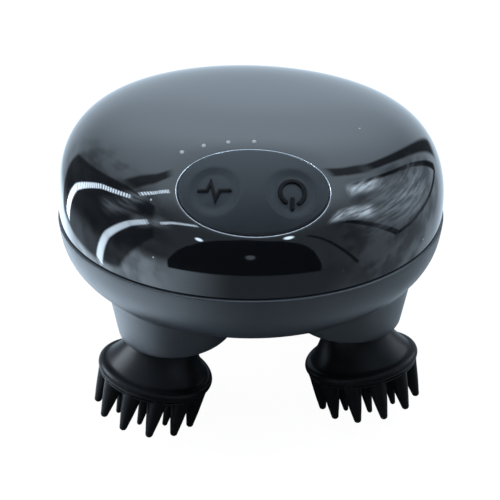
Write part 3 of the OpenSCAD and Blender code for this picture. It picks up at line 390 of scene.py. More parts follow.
def loops_to_faces(rings, count, closed=False, offset=0):
    """Quads between rings of the same number of points."""
    faces = []
    for k in range(rings if closed else rings - 1):
        this, other = offset + k * count, offset + (k + 1) % rings * count
        for i in range(count):
            j = (i + 1) % count
            faces.append((this + i, this + j, other + j, other + i))
    return faces


def joined(rings):
    return [p for one in rings for p in one]


def tube(rings, offset=0):
    """The points and faces of a stack of like rings whose two ends are closed. The offset
    is the number of points before them."""
    count, total = len(rings[0]), len(rings)
    ends = [tuple(range(offset + k * count, offset + (k + 1) * count)) for k in (0, total - 1)]
    return joined(rings), loops_to_faces(total, count, offset=offset) + ends


def weld(mesh, reach):
    """Merges points within a reach in metres, and turns all faces outwards."""
    body = bmesh.new()
    body.from_mesh(mesh)
    bmesh.ops.remove_doubles(body, verts=body.verts, dist=reach)
    bmesh.ops.recalc_face_normals(body, faces=body.faces)
    body.to_mesh(mesh)
    body.free()


def smooth(mesh, sharp):
    """Smooth shading, but for edges sharper than an angle in degrees."""
    mesh.shade_smooth()
    mesh.set_sharp_from_angle(angle=radians(sharp))


def add_piece(name, points, faces, place=to_crown, sharp=40):
    """A mesh object in metres, from points in millimetres."""
    mesh = bpy.data.meshes.new(name)
    mesh.from_pydata([place @ Vector(p) * mm for p in points], [], faces)
    weld(mesh, 1e-7)
    smooth(mesh, sharp)
    return show(name, mesh)


edge_roll = 0.6
pull_in, pull_reach = 0.32, 4.5
around, outer_steps, inner_steps = 288, 96, 40
heart = Vector((0, -6, 0))


def rolled(distance, radius):
    """How far a rounded edge lies below its face, at a distance from its end."""
    return radius - sqrt(max(0.0, radius ** 2 - max(0.0, radius - distance) ** 2))


def panel_ring(grow, depth=0.0):
    """Points of the dome round the opening, at a distance from it."""
    return [on_panel(x, y, depth) for x, y in ellipse(panel_a + grow, panel_b + grow, around)]


def edge_ring(grow):
    """The same, where the face is pulled in and rolled over towards the opening."""
    sink = pull_in * max(0, 1 - grow / pull_reach) ** 2 + rolled(grow, edge_roll)
    return [p - panel_normal * sink for p in panel_ring(grow)]


def rim_ring(z, inset):
    """Points of the lower edge, at a height over the seam and set in from the wall."""
    points = []
    for p in ring(crown_r - inset, seam + z, around):
        flat = to_crown.inverted() @ Vector(p)
        ratio = (crown_r - inset) / hypot(flat.x, flat.y)
        points.append(Vector((flat.x * ratio, flat.y * ratio, flat.z)))
    return points


def dome_rings(upper, lower, shares, depth=0.0):
    """Rings of the dome at shares of the way from one ring to another, seen from its heart."""
    pairs = [((a - heart).normalized(), (b - heart).normalized()) for a, b in zip(upper, lower)]
    return [[on_crown(heart, a.slerp(b, share), depth) for a, b in pairs] for share in shares]


rings = [edge_ring(grow) for grow in (0.0, 0.02, 0.07, 0.14, 0.23, 0.34, 0.46, 0.6, 0.75, 1.0,
                                      1.4, 1.9, 2.4, 3.0, 3.7, 4.5)]
rings += dome_rings(rings[-1], rim_ring(0.4, 0),
                    [k / outer_steps for k in range(1, outer_steps + 1)])
rings += [rim_ring(z, inset) for z, inset in (
    (0.25, 0.015), (0.19, 0.05), (0.15, 0.11), (0.14, 0.45), (0.3, 0.6), (0.3, cover_wall))]
rings += dome_rings(panel_ring(0.0, cover_wall), rim_ring(0.8, cover_wall),
                    [1 - k / inner_steps for k in range(inner_steps + 1)], cover_wall)
cover = add_piece("glossy_cover", joined(rings), loops_to_faces(len(rings), around, closed=True),
                  sharp=50)


def new_finish(name):
    """A material, its node tree and its main shader."""
    made = bpy.data.materials.new(name)
    made.use_nodes = True
    return made, made.node_tree, made.node_tree.nodes["Principled BSDF"]


def coords(tree):
    return node(tree, "ShaderNodeTexCoord").outputs["Object"]


# Piano-black gloss: nearly a mirror, with faint polish haze and a few specks of dust
piano_black, tree, shader = new_finish("piano_black")
surface = coords(tree)
haze = noise(tree, surface, 60.0, 5.0, 0.6)
dust = node(tree, "ShaderNodeTexVoronoi", Vector=surface, Scale=210.0)
pick = node(tree, "ShaderNodeSeparateColor", Color=dust.outputs["Color"])
speck = calc(tree, "MULTIPLY", ramp(tree, dust.outputs["Distance"], 0.03, 0.055, 1, 0),
             ramp(tree, pick.outputs[0], 0.86, 0.88))
feed(tree, shader, IOR=1.52, Roughness=ramp(tree, haze, 0.35, 0.75, 0.02, 0.05),
     Base_Color=two_tones(tree, speck, (0.0032, 0.0038, 0.005), (0.3, 0.32, 0.34)))

# The rolled edge of the opening gets a lighter, metal-like finish, which paints a highlight line
# along it
edge_painted_highlight, tree, shader = new_finish("edge_painted_highlight")
grain = noise(tree, coords(tree), 900.0)
feed(tree, shader, Metallic=0.8, Roughness=ramp(tree, grain, 0.3, 0.7, 0.15, 0.25),
     Base_Color=two_tones(tree, grain, (0.4, 0.43, 0.46), (0.55, 0.6, 0.65)))
cover.data.materials.append(piano_black)
cover.data.materials.append(edge_painted_highlight)
# The rolled edge's faces take the painted highlight finish
for polygon in cover.data.polygons[around:5 * around]:
    polygon.material_index = 1


def rounded_outline(w, h, count=16):
    """A stadium-ended outline in x, z, w wide and h high."""
    r = h / 2
    outline = []
    for side in (1, -1):
        for i in range(count + 1):
            t = -pi / 2 + pi * i / count
            outline.append((side * (w / 2 - r + r * cos(t)), side * r * sin(t)))
    return outline


def port_slab(name, w, h, layers, z_low=-inf):
    """A slab at the rear that follows the dome, from its layers of (depth, inset). It ends
    at z_low, with a chamfer there that lets it swing."""
    rings = []
    for depth, inset in layers:
        chamfer = min(0.65, 0.3 + 1.2 * inset) if inset else 0.0
        layer = []
        for x, z in rounded_outline(w - 2 * inset, h - 2 * inset):
            z = max(z_low + chamfer, port_z + z)
            layer.append((x, sqrt(max(0.0, crown_radius(z) ** 2 - x * x)) - depth, z))
        rings.append(layer)
    count = len(rings[0])
    faces = loops_to_faces(len(rings), count)
    # Rungs across the stadium close each end
    for base in (0, (len(rings) - 1) * count):
        for i in range(count // 2 - 1):
            faces.append((base + i, base + i + 1, base + count - 2 - i, base + count - 1 - i))
    return add_piece(name, joined(rings), faces, at_seam, sharp=35)


def rod(radius, low, high, place, count=48):
    """A plain round cutter, along the z axis of its place."""
    return add_piece("rod", *tube([ring(radius, z, count) for z in (low, high)]), place)


def cut(target, cutters, operation="DIFFERENCE", solver="EXACT"):
    """Booleans, made plain mesh at once. The cutters are removed."""
    for cutter in cutters:
        modifier = target.modifiers.new("cut", "BOOLEAN")
        modifier.operation = operation
        modifier.solver = solver
        modifier.object = cutter
        bpy.context.view_layer.update()
        evaluated = target.evaluated_get(bpy.context.evaluated_depsgraph_get())
        result = bpy.data.meshes.new_from_object(evaluated)
        target.modifiers.clear()
        target.data = result
        bpy.data.objects.remove(cutter)


cutters = [rod(light_hole, -4, 6, to_crown @ panel_frame @ Matrix.Translation((x, y, 0)), 32)
           for x, y in light_spots]
cutters.append(port_slab("recess_cutter", port_w, port_h, ((-4, 0), (recess_in, 0))))
cutters.append(port_slab("inlet_cutter", inlet_w, inlet_h, ((-4, 0), (4, 0))))
cut(cover, cutters)
smooth(cover.data, 50)
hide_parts("top_cover")
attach(cover, "body")

# ---------------------------------------------------------------- keypad
# A matt silicone pad that fills the opening flush with the cover, with a rounded edge.
# Its two holes carry the buttons, and its face dips towards them.
button_x, button_y, button_r = 7.5, -0.6, 4.7
hole_r = button_r + 0.025
pad_a, pad_b = panel_a - 0.06, panel_b - 0.06
pad_sink, pad_edge, pad_t = 0.14, 0.3, 2.0
dish_depth, dish_slope, dish_rim = 0.7, 2.3, button_r + 0.75
pad_pitch, around_button = 0.42, 96


def circle_at(x, y, r, count):
    return [(x + px, y + py) for px, py in ellipse(r, r, count)]


def loop_edges(base, count):
    """The edges of a closed loop of points, from the number of its first."""
    return [(base + i, base + (i + 1) % count) for i in range(count)]


def filled(points, edges, keep):
    """The points and triangles of a flat layout, where keep(x, y) holds at their middle."""
    verts, _, tris, _, _, _ = delaunay_2d_cdt([Vector(p) for p in points], edges, [], 0, 1e-5)
    tris = [tuple(t) for t in tris if keep(*sum((verts[i] for i in t), Vector((0, 0))) / 3)]
    return verts, tris


def edge_distance(x, y):
    """How far a point of the panel's plane is inside the pad's outline."""
    level_set = hypot(x / pad_a, y / pad_b)
    slope = hypot(x / pad_a ** 2, y / pad_b ** 2) / max(level_set, 1e-6)
    return (1 - level_set) / max(slope, 1e-6)


def from_button(x, y):
    """The distance to the middle of the nearer button."""
    return min(hypot(x - side * button_x, y - button_y) for side in (1, -1))


def dish(distance):
    """Depth of a button's dish at a distance from its middle: flat-bottomed, soft shoulder."""
    t = min(1.0, max(0.0, (dish_rim - distance) / dish_slope))
    return dish_depth * t * t * (3 - 2 * t)


def pad_face(x, y):
    roll = rolled(max(0.0, edge_distance(x, y)), pad_edge)
    return on_panel(x, y) - panel_normal * (pad_sink + roll + dish(from_button(x, y)))


def pad_back(x, y):
    return on_panel(x, y) - panel_normal * (pad_t + dish_depth)


def in_pad(x, y):
    return edge_distance(x, y) > -1e-3 and from_button(x, y) > hole_r - 1e-3


loops = [ellipse(pad_a - s, pad_b - s, 192) for s in (0, 0.015, 0.04, 0.09, 0.15, 0.22, 0.3, 0.6)]
loops += [circle_at(side * button_x, button_y, hole_r + s, around_button)
          for side in (-1, 1) for s in (0, 0.05, 0.2, 0.35, 0.5, 0.7, 1.0)]
flat, edges = [], []
for loop in loops:
    edges += loop_edges(len(flat), len(loop))
    flat += loop
spots = [(x * pad_pitch, y * pad_pitch) for x in range(-36, 37) for y in range(-22, 23)]
flat += [s for s in spots if edge_distance(*s) > 0.95 and from_button(*s) > hole_r + 1.2]
verts, tris = filled(flat, edges, in_pad)
count = len(verts)
faces = tris + [tuple(count + i for i in reversed(t)) for t in tris]
# Side walls, along each edge that only one triangle has
outline = {}
for t in tris:
    for a, b in zip(t, t[1:] + t[:1]):
        key = (min(a, b), max(a, b))
        outline[key] = None if key in outline else (a, b)
faces += [(b, a, count + a, count + b) for a, b in filter(None, outline.values())]
keypad = add_piece("silicone_keypad", [pad_face(*v) for v in verts] + [pad_back(*v) for v in verts],
                   faces, sharp=60)


def finish(name, dark, light, rough, spread, grain, relief, metal=0.0, gloss=0.5):
    """A moulded or machined surface: two close tones in soft blotches, uneven roughness
    and a fine grain of a relief in millimetres, all on Object coordinates in metres."""
    made, tree, shader = new_finish(name)
    surface = coords(tree)
    cloud = noise(tree, surface, 90.0, 4.0)
    fine = noise(tree, surface, grain, 2.0, 0.6)
    mixed = calc(tree, "ADD", calc(tree, "MULTIPLY", cloud, 0.6), calc(tree, "MULTIPLY", fine, 0.4))
    bump = node(tree, "ShaderNodeBump", Strength=0.6, Distance=relief * mm, Height=fine)
    feed(tree, shader, Metallic=metal, Specular_IOR_Level=gloss, Normal=bump.outputs[0],
         Base_Color=two_tones(tree, ramp(tree, cloud, 0.35, 0.65), dark, light),
         Roughness=ramp(tree, mixed, 0.3, 0.7, rough - spread, rough + spread))
    return made


pad_finish = finish("keypad_silicone", (0.0095, 0.0125, 0.016), (0.0115, 0.015, 0.019),
                    0.46, 0.06, 9000.0, 0.012, gloss=0.22)
keypad.data.materials.append(pad_finish)
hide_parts("keypad")
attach(keypad, "body")

# ---------------------------------------------------------------- buttons
# Two dished silicone caps. The right one carries a raised power sign, the left one a
# plain pulse line. Each has a flange under the pad and a plunger for its switch.
sign_h = 0.5
power_w, pulse_w = 0.8, 0.62


def cap_face(x, y, side):
    """A point of the button's own face."""
    return (on_panel(x + side * button_x, y + button_y)
            - panel_normal * (pad_sink + dish(hypot(x, y))))


def arc(centre, radius, start, end, steps):
    """Points along an arc between two angles in degrees."""
    turns = [radians(start + (end - start) * i / steps) for i in range(steps + 1)]
    return [(centre[0] + radius * cos(t), centre[1] + radius * sin(t)) for t in turns]


def arc_stroke(width, radius=2.4, gap=32, steps=40):
    """A ring with a gap at the bottom and round ends."""
    start, end, half = -90 + gap, 270 - gap, width / 2
    first, *_, last = arc((0, 0), radius, start, end, steps)
    return (arc((0, 0), radius + half, start, end, steps)
            + arc(last, half, end, end + 180, 8)[1:-1]
            + arc((0, 0), radius - half, end, start, steps)
            + arc(first, half, start + 180, start + 360, 8)[1:-1])


def line_stroke(path, width):
    """An open path as a stroke with mitred corners and round ends."""
    path = [Vector(p) for p in path]
    half, left, right, outline = width / 2, [], [], []
    for i, p in enumerate(path):
        before = (p - path[i - 1]).normalized() if i else (path[1] - p).normalized()
        after = (path[i + 1] - p).normalized() if i + 1 < len(path) else before
        across = Vector((-(before + after).y, (before + after).x)).normalized()
        reach = half / max(0.35, across.dot(Vector((-after.y, after.x))))
        left.append(p + across * reach)
        right.append(p - across * reach)
    for side, tip, inner in ((right, path[-1], path[-2]), (left[::-1], path[0], path[1])):
        ahead = (tip - inner).normalized()
        aside = Vector((ahead.y, -ahead.x))
        turns = [pi * i / 8 for i in range(1, 8)]
        outline += side + [tip + aside * (half * cos(t)) + ahead * (half * sin(t))
                           for t in turns]
    return [tuple(p) for p in outline]


def raised_sign(strokes, side, offset):
    """Raised strokes on a dish, each from its outline and the same outline set in. The
    offset is the number of points before them."""
    points, faces = [], []
    for outline, inset in strokes:
        base, count = offset + len(points), len(outline)
        shoulder = [Vector(o) * 0.35 + Vector(i) * 0.65 for o, i in zip(outline, inset)]
        for shape, rise in ((outline, -0.15), (outline, sign_h - 0.14),
                            (shoulder, sign_h - 0.035), (inset, sign_h)):
            points += [cap_face(x, y, side) + panel_normal * rise for x, y in shape]
        faces += loops_to_faces(4, count, offset=base)
        for start, shape in ((base, outline), (base + 3 * count, inset)):
            flat = [Vector(p) for p in shape]
            for face in delaunay_2d_cdt(flat, loop_edges(0, count), [], 1, 1e-6)[2]:
                faces.append(tuple(start + i for i in face))
    return points, faces


power_path = [(0, -3.15), (0, -2.6), (0, -2.0), (0, -1.35)]
pulse_path = [(-3.0, 0), (-1.45, 0), (-0.75, 1.75), (0.25, -1.85), (1.05, 0.0), (3.0, 0)]
signs = {
    1: [(arc_stroke(power_w), arc_stroke(power_w - 0.3)),
        (line_stroke(power_path, power_w), line_stroke(power_path, power_w - 0.3))],
    -1: [(line_stroke(pulse_path, pulse_w), line_stroke(pulse_path, pulse_w - 0.26))],
}
sign_finish = finish("sign_black", (0.0025, 0.003, 0.0035), (0.0035, 0.004, 0.005),
                     0.5, 0.05, 9000.0, 0.01, gloss=0.08)
cap_radii = [0.02 + (button_r - 0.02) * (i / 26) ** 0.9 for i in range(24)]
cap_radii += [button_r - 0.12, button_r - 0.05, button_r]
plunger = ((button_r, 3.2), (button_r + 0.8, 3.3), (button_r + 0.8, 3.9), (2.0, 3.9),
           (2.0, 5.0), (0.02, 5.05))
for side, name in ((1, "power_button"), (-1, "pulse_button")):
    rings = [[cap_face(x, y, side) for x, y in ellipse(r, r, around_button)]
             for r in cap_radii]
    rings += [[panel_frame @ Vector((x, y, -down))
               for x, y in circle_at(side * button_x, button_y, r, around_button)]
              for r, down in plunger]
    points, faces = tube(rings)
    sign_points, sign_faces = raised_sign(signs[side], side, len(points))
    button = add_piece(name + "_cap", points + sign_points, faces + sign_faces, sharp=45)
    button.data.materials.append(pad_finish)
    button.data.materials.append(sign_finish)
    for polygon in button.data.polygons:
        at = ((to_crown @ panel_frame).inverted() @ (polygon.center / mm)
              - Vector((side * button_x, button_y, 0)))
        face = panel_frame.inverted() @ cap_face(at.x, at.y, side)
        polygon.material_index = int(at.z > face.z + 0.1 and hypot(at.x, at.y) < 4)
    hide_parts(name)
    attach(button, name)

# ---------------------------------------------------------------- light pins
# Four clear pins in one moulding show the charge. Each ends in a small dome at the cover.
pin_profile = ((0.04, 0.08), (0.18, 0.07), (0.32, 0.04), (0.42, -0.01), (0.47, -0.09),
               (0.47, -7.5), (0.04, -7.6))
points, faces = [], []
for x, y in light_spots:
    lift = panel_normal * (on_panel(x, y) - (panel_frame @ Vector((x, y, 0)))).dot(panel_normal)
    rings = [[panel_frame @ Vector((*p, 0)) + lift + panel_normal * up
              for p in circle_at(x, y, r, 24)] for r, up in pin_profile]
    pin_points, pin_faces = tube(rings, len(points))
    points += pin_points
    faces += pin_faces
pins = add_piece("charge_light_pins", points, faces)
pin_finish = finish("frosted_clear", (0.15, 0.17, 0.19), (0.22, 0.24, 0.26),
                    0.34, 0.06, 5000.0, 0.01)
# The pins get a faint bluish painted glow that lightens them
feed(pin_finish.node_tree, pin_finish.node_tree.nodes["Principled BSDF"],
     Emission_Color=(0.8, 0.9, 1.0, 1), Emission_Strength=0.03)
pins.data.materials.append(pin_finish)
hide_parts("light_pins")
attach(pins, "body")

# ---------------------------------------------------------------- port cover
# A black rubber flap over the charging inlet at the rear, bent to the dome, with a plug
# on its inside and a bead along its lower edge that it swings on.
flap_pivot, flap_gap = 4.75, 0.25
plug_w, plug_h = 8.5, 2.6
flap_layers = ((1.0, 0.0), (0.3, 0.0), (0.14, 0.04), (0.05, 0.13), (0.02, 0.28), (0.02, 1.2),
               (0.02, 2.4))
flap = port_slab("port_flap", port_w - 2 * flap_gap, port_h - 2 * flap_gap, flap_layers,
                 flap_pivot)
bead_rings = [[(x, y, z) for y, z in circle_at(crown_radius(flap_pivot) - 0.5, flap_pivot, r, 24)]
              for x, r in ((-3.0, 0.35), (-2.9, 0.5), (2.9, 0.5), (3.0, 0.35))]
plug_rings = [[(x, crown_radius(port_z) - depth, port_z + z)
               for x, z in rounded_outline(plug_w - 2 * inset, plug_h - 2 * inset)]
              for depth, inset in ((0.8, 0.0), (1.6, 0.0), (1.8, 0.08), (1.88, 0.3))]
cut(flap, [add_piece("flap_bead", *tube(bead_rings), at_seam),
           add_piece("flap_plug", *tube(plug_rings), at_seam)], "UNION")
smooth(flap.data, 40)
flap.data.materials.clear()
flap.data.materials.append(finish("flap_rubber", (0.014, 0.015, 0.017), (0.02, 0.021, 0.024),
                                  0.42, 0.06, 8000.0, 0.012))
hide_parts("port_cover")
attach(flap, "port_cover")

# ---------------------------------------------------------------- bottom housing
# One matt moulding: a shallow bowl with a rolled top edge, and four flared legs that
# grow out of it with a small fillet. Each leg is open below, for the turning head. The
# legs' axes are read from the frame.
legs = {}
for leg in ("front_left", "front_right", "rear_left", "rear_right"):
    low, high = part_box(leg + "_clip")
    legs[leg] = ((low.x + high.x) / 2 / mm, (low.y + high.y) / 2 / mm)
body_r, bowl_h, bowl_wall = 49.0, 20.0, 2.0
bowl_deep, bowl_power = bowl_h + 0.25, 3.0
leg_r, leg_drop, leg_flare, leg_wall, foot_round = 14.5, 24.0, 1.4, 1.6, 0.7
ceiling, ceiling_t = 10.5, 2.0
fillet = 0.8
around_leg, around_rim, around_hollow = 120, 240, 120
spot_pitch, spot_step, leg_clearance = 1.25, 1.3, 0.5


def bowl_radius(z, grow=0.0):
    share = min(1.0, -z / (bowl_deep + grow))
    return (body_r + grow) * (1 - share ** bowl_power) ** (1 / bowl_power)


def leg_radius(z):
    straight = leg_drop - foot_round - ceiling + ceiling_t
    return leg_r + leg_flare * (z + leg_drop - foot_round) / straight


def meet(centre, turn, leg_grow, bowl_grow):
    """Where a leg, grown by one amount, meets the bowl, grown by another."""
    way = Vector((cos(turn), sin(turn)))

    def leg_point(z):
        return Vector(centre) + way * (leg_radius(z) + leg_grow)

    low, high = -leg_drop, -6.0
    for _ in range(halvings):
        z = (low + high) / 2
        outside = z < -bowl_h - bowl_grow or leg_point(z).length > bowl_radius(z, bowl_grow)
        low, high = (z, high) if outside else (low, z)
    z = (low + high) / 2
    return Vector((*leg_point(z), z))


# The bowl's profile by length from its middle, so that it can be laid out flat
flat_r = bowl_radius(-bowl_h)
profile = [(flat_r * i / 8, -bowl_h) for i in range(9)]
for i in range(1, 241):
    t = radians(90 * (1 - i / 240))
    r = body_r * cos(t) ** (2 / bowl_power)
    z = -bowl_deep * sin(t) ** (2 / bowl_power)
    if z > -bowl_h and r > flat_r:
        profile.append((r, min(z, -0.35)))
run = [0.0]
for a, b in zip(profile, profile[1:]):
    run.append(run[-1] + hypot(b[0] - a[0], b[1] - a[1]))


def lay_flat(p):
    """A point of the bowl's surface, on the flat layout."""
    if p.z <= -bowl_h + 1e-3:
        return p.x, p.y
    r = hypot(p.x, p.y)
    near = min(range(len(profile)),
               key=lambda k: abs(profile[k][0] - r) + abs(profile[k][1] - p.z))
    best = None
    for k in (near - 1, near):
        if 0 <= k < len(profile) - 1:
            a, b = Vector(profile[k]), Vector(profile[k + 1])
            share = min(1, max(0, (Vector((r, p.z)) - a).dot(b - a) / (b - a).length_squared))
            gap = (a + (b - a) * share - Vector((r, p.z))).length
            if best is None or gap < best[0]:
                best = (gap, run[k] + (b - a).length * share)
    return p.x / r * best[1], p.y / r * best[1]


def fold_up(x, y):
    """The bowl's surface point for a point of the flat layout."""
    length = hypot(x, y)
    if length < 1e-9:
        return Vector((0, 0, -bowl_h))
    low, high = 0, len(run) - 2
    while low < high:
        k = (low + high + 1) // 2
        low, high = (k, high) if run[k] <= length else (low, k - 1)
    share = min(1.0, (length - run[low]) / (run[low + 1] - run[low]))
    (r1, z1), (r2, z2) = profile[low], profile[low + 1]
    r = r1 + (r2 - r1) * share
    return Vector((x / length * r, y / length * r, z1 + (z2 - z1) * share))


# Each leg: a fillet of seven rings out of the bowl, then the wall and the rounded foot
leg_loops, leg_rings = [], []
foot = ((-22.0, None), (-leg_drop + foot_round, None), (-leg_drop + 0.42, leg_r - 0.055),
        (-leg_drop + 0.2, leg_r - 0.21), (-leg_drop + 0.05, leg_r - 0.44),
        (-leg_drop, leg_r - foot_round))
for centre in legs.values():
    top_line, corner, low_line = (
        [meet(centre, 2 * pi * i / around_leg, *grown) for i in range(around_leg)]
        for grown in ((fillet, 0.0), (0.0, 0.0), (0.0, fillet)))
    rings = []
    for s in [k / 7 for k in range(1, 8)]:
        rings.append([a * (1 - s) ** 2 + b * 2 * s * (1 - s) + c * s * s
                      for a, b, c in zip(top_line, corner, low_line)])
    for z, r in foot:
        rings.append([Vector((*p, z)) for p in circle_at(*centre, r or leg_radius(z), around_leg)])
    leg_loops.append([lay_flat(p) for p in top_line])
    leg_rings.append(rings)


def in_loop(x, y, loop):
    """True inside a closed loop, by the crossings of a level line."""
    inside = False
    for (x1, y1), (x2, y2) in zip(loop, loop[1:] + loop[:1]):
        if (y1 > y) != (y2 > y) and x < (x2 - x1) * (y - y1) / (y2 - y1) + x1:
            inside = not inside
    return inside


def off_legs(x, y):
    return not any(in_loop(x, y, loop) for loop in leg_loops)


def clear_of_legs(x, y):
    return off_legs(x, y) and all((x - a) ** 2 + (y - b) ** 2 >= leg_clearance
                                  for loop in leg_loops for a, b in loop[::2])


# The bowl's skin: the rim, the legs' lines and staggered rings of spots, filled flat and
# then folded up
flat, edges = ellipse(run[-1], run[-1], around_rim), loop_edges(0, around_rim)
for loop in leg_loops:
    edges += loop_edges(len(flat), around_leg)
    flat += loop
spot_rings = int(run[-1] / spot_pitch)
for k in range(spot_rings):
    r = run[-1] * (k + 0.02) / spot_rings
    spread = max(1, int(2 * pi * r / spot_step))
    turns = [2 * pi * (i + 0.5 * (k % 2)) / spread for i in range(spread)]
    spots = [(r * cos(t), r * sin(t)) for t in turns]
    flat += [spot for spot in spots if clear_of_legs(*spot)]
verts, faces = filled(flat, edges, off_legs)
points = [fold_up(*v) for v in verts]
# The top edge, rolled over to a flat land with a lid that the hollow is cut from, and
# the legs. The last ring of each is closed
top_edge = [ring(r, z, around_rim) for r, z in (
    (body_r - 0.0005, -0.35), (body_r - 0.02, -0.22), (body_r - 0.1, -0.1),
    (body_r - 0.22, -0.02), (body_r - 0.36, 0.0), (20.0, 0.0))]
for rings in [top_edge] + [[[fold_up(*p) for p in loop]] + rings
                           for loop, rings in zip(leg_loops, leg_rings)]:
    count = len(rings[0])
    faces += loops_to_faces(len(rings), count, offset=len(points))
    points += joined(rings)
    faces.append(tuple(range(len(points) - count, len(points))))
housing = add_piece("matt_housing", points, faces, at_seam)
weld(housing.data, 0.02 * mm)

# The hollow leaves the legs' roots and the four screw bosses standing
hollow_top_r, hollow_steps = 46.8, 40
hollow_rings = [ring(hollow_top_r, 1.0, around_hollow)]
for i in range(hollow_steps + 1):
    t = radians(90 * i / hollow_steps)
    r = (body_r - bowl_wall) * cos(t) ** (2 / bowl_power)
    z = max(-bowl_h + bowl_wall, -(bowl_deep - bowl_wall) * sin(t) ** (2 / bowl_power))
    hollow_rings.append(ring(max(r, 0.3), z, around_hollow))
hollow = add_piece("hollow_cutter", *tube(hollow_rings), at_seam)
boss_ring, boss_r, boss_swing = 41, 3.45, 20
screw_head_r, screw_r = 2.25, 1.25
below_all = -26
bush_r, spindle_r = 4.66, 4.04
screw_spots = []
rear_bearing = atan2(*reversed(legs["rear_right"]))
for swing in (-boss_swing, boss_swing, 180 - boss_swing, 180 + boss_swing):
    t = radians(swing) + rear_bearing - radians(45)
    screw_spots.append((boss_ring * cos(t), boss_ring * sin(t)))


def post(radius, low, high, spot, count=48):
    """A round cutter at a spot of the bowl."""
    return rod(radius, low, high, at_seam @ Matrix.Translation((*spot, 0)), count)


cut(hollow, [post(leg_r - 0.2, below_all, -ceiling + ceiling_t, spot, 96)
             for spot in legs.values()]
    + [post(boss_r, below_all, -1, spot) for spot in screw_spots], solver="MANIFOLD")
holes = [hollow]
for spot in legs.values():
    holes += [post(leg_r - leg_wall, -leg_drop - 1, -ceiling, spot, 120),
              post(bush_r, -ceiling - 1, -ceiling + 1.3, spot, 64),
              post(spindle_r, -ceiling, 2, spot, 64)]
for spot in screw_spots:
    holes += [post(screw_head_r, -bowl_h - 1, -6.0, spot), post(screw_r, -8, 2, spot, 32)]
cut(housing, holes, solver="MANIFOLD")
smooth(housing.data, 38)
housing.data.materials.clear()
housing.data.materials.append(finish("housing_matt", (0.0105, 0.0135, 0.0175),
                                     (0.0125, 0.016, 0.0205), 0.4, 0.05, 7000.0, 0.014))
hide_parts("bottom_housing")
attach(housing, "body")

# ---------------------------------------------------------------- massage heads
# Four black silicone heads. Each is a neck that flares to a thick rolled rim, and a disc
# of soft teeth: twelve outside, eight inside and one in the middle. A node tree makes the
# teeth, and one head is copied to the four legs.
head_turn, head_tilt, pivot_drop = -12.5, 20.5, 16.0
neck_r, flare_r, rim_r, face_z = 7.8, 12.9, 1.3, 22.25
outer_length, inner_length, root_in = 10.0, 9.8, 0.6
outer_root, inner_root = 2.6 * mm, 1.9 * mm
tooth_tree = bpy.data.node_groups.new("tooth_rows", "GeometryNodeTree")
tree_face = tooth_tree.interface
tree_face.new_socket(name="Geometry", in_out="INPUT", socket_type="NodeSocketGeometry")
for name, kind, value in (
        ("Count", "Int", 12), ("Ring Radius", "Float", 11.6 * mm), ("Length", "Float", 10 * mm),
        ("Root Radius", "Float", outer_root), ("Lean", "Float", 0.08), ("First Turn", "Float", 0.0),
        ("Face Height", "Float", (face_z - root_in) * mm)):
    socket = tree_face.new_socket(name=name, in_out="INPUT", socket_type="NodeSocket" + kind)
    socket.default_value = value
tree_face.new_socket(name="Material", in_out="INPUT", socket_type="NodeSocketMaterial")
tree_face.new_socket(name="Geometry", in_out="OUTPUT", socket_type="NodeSocketGeometry")


def grown(kind, **inputs):
    """The first output of a new node of the tooth tree."""
    return node(tooth_tree, kind, **inputs).outputs[0]


def tooth_calc(operation, a, b=0.0):
    return calc(tooth_tree, operation, a, b)


given = node(tooth_tree, "NodeGroupInput").outputs
top = grown("ShaderNodeCombineXYZ", Z=given["Length"])
spine = grown("GeometryNodeCurvePrimitiveLine", End=top)
spine = grown("GeometryNodeResampleCurve", Curve=spine, Count=22)
share = grown("GeometryNodeSplineParameter")
# Closer rings at the rounded tip
ease = tooth_calc("POWER", tooth_calc("SUBTRACT", 1.0, share), 1.7)
lift = tooth_calc("MULTIPLY", tooth_calc("SUBTRACT", 1.0, ease), given["Length"])
spine = grown("GeometryNodeSetPosition", Geometry=spine,
              Position=grown("ShaderNodeCombineXYZ", Z=lift))
taper = node(tooth_tree, "ShaderNodeFloatCurve", Value=share)
shape = taper.mapping.curves[0]
shape.points[0].location = (0.0, 1.0)
shape.points[1].location = (1.0, 0.0)
for x, y in ((0.06, 0.94), (0.3, 0.79), (0.6, 0.6), (0.86, 0.4), (0.95, 0.33), (0.985, 0.21)):
    shape.points.new(x, y)
taper.mapping.update()
spine = grown("GeometryNodeSetCurveRadius", Curve=spine,
              Radius=tooth_calc("MULTIPLY", taper.outputs[0], given["Root Radius"]))
section = grown("GeometryNodeCurvePrimitiveCircle", Resolution=20, Radius=1.0)
tooth = grown("GeometryNodeCurveToMesh", Curve=spine, Profile_Curve=section,
              Scale=grown("GeometryNodeInputRadius"), Fill_Caps=True)
# The roots stand on a ring, and each tooth leans away from the middle
step = tooth_calc("DIVIDE", 2 * pi, given["Count"])
turn = tooth_calc("MULTIPLY", grown("GeometryNodeInputIndex"), step)
turn = tooth_calc("ADD", turn, given["First Turn"])
root = grown("ShaderNodeCombineXYZ", Z=given["Face Height"],
             X=tooth_calc("MULTIPLY", tooth_calc("COSINE", turn), given["Ring Radius"]),
             Y=tooth_calc("MULTIPLY", tooth_calc("SINE", turn), given["Ring Radius"]))
roots = grown("GeometryNodePoints", Count=given["Count"], Position=root)
teeth = grown("GeometryNodeInstanceOnPoints", Points=roots, Instance=tooth,
              Rotation=grown("ShaderNodeCombineXYZ", Y=given["Lean"], Z=turn))
both = node(tooth_tree, "GeometryNodeJoinGeometry")
wire(tooth_tree, grown("GeometryNodeRealizeInstances", Geometry=teeth), both.inputs[0])
wire(tooth_tree, given["Geometry"], both.inputs[0])
dressed = grown("GeometryNodeSetMaterial", Geometry=both.outputs[0], Material=given["Material"])
node(tooth_tree, "NodeGroupOutput", Geometry=dressed)

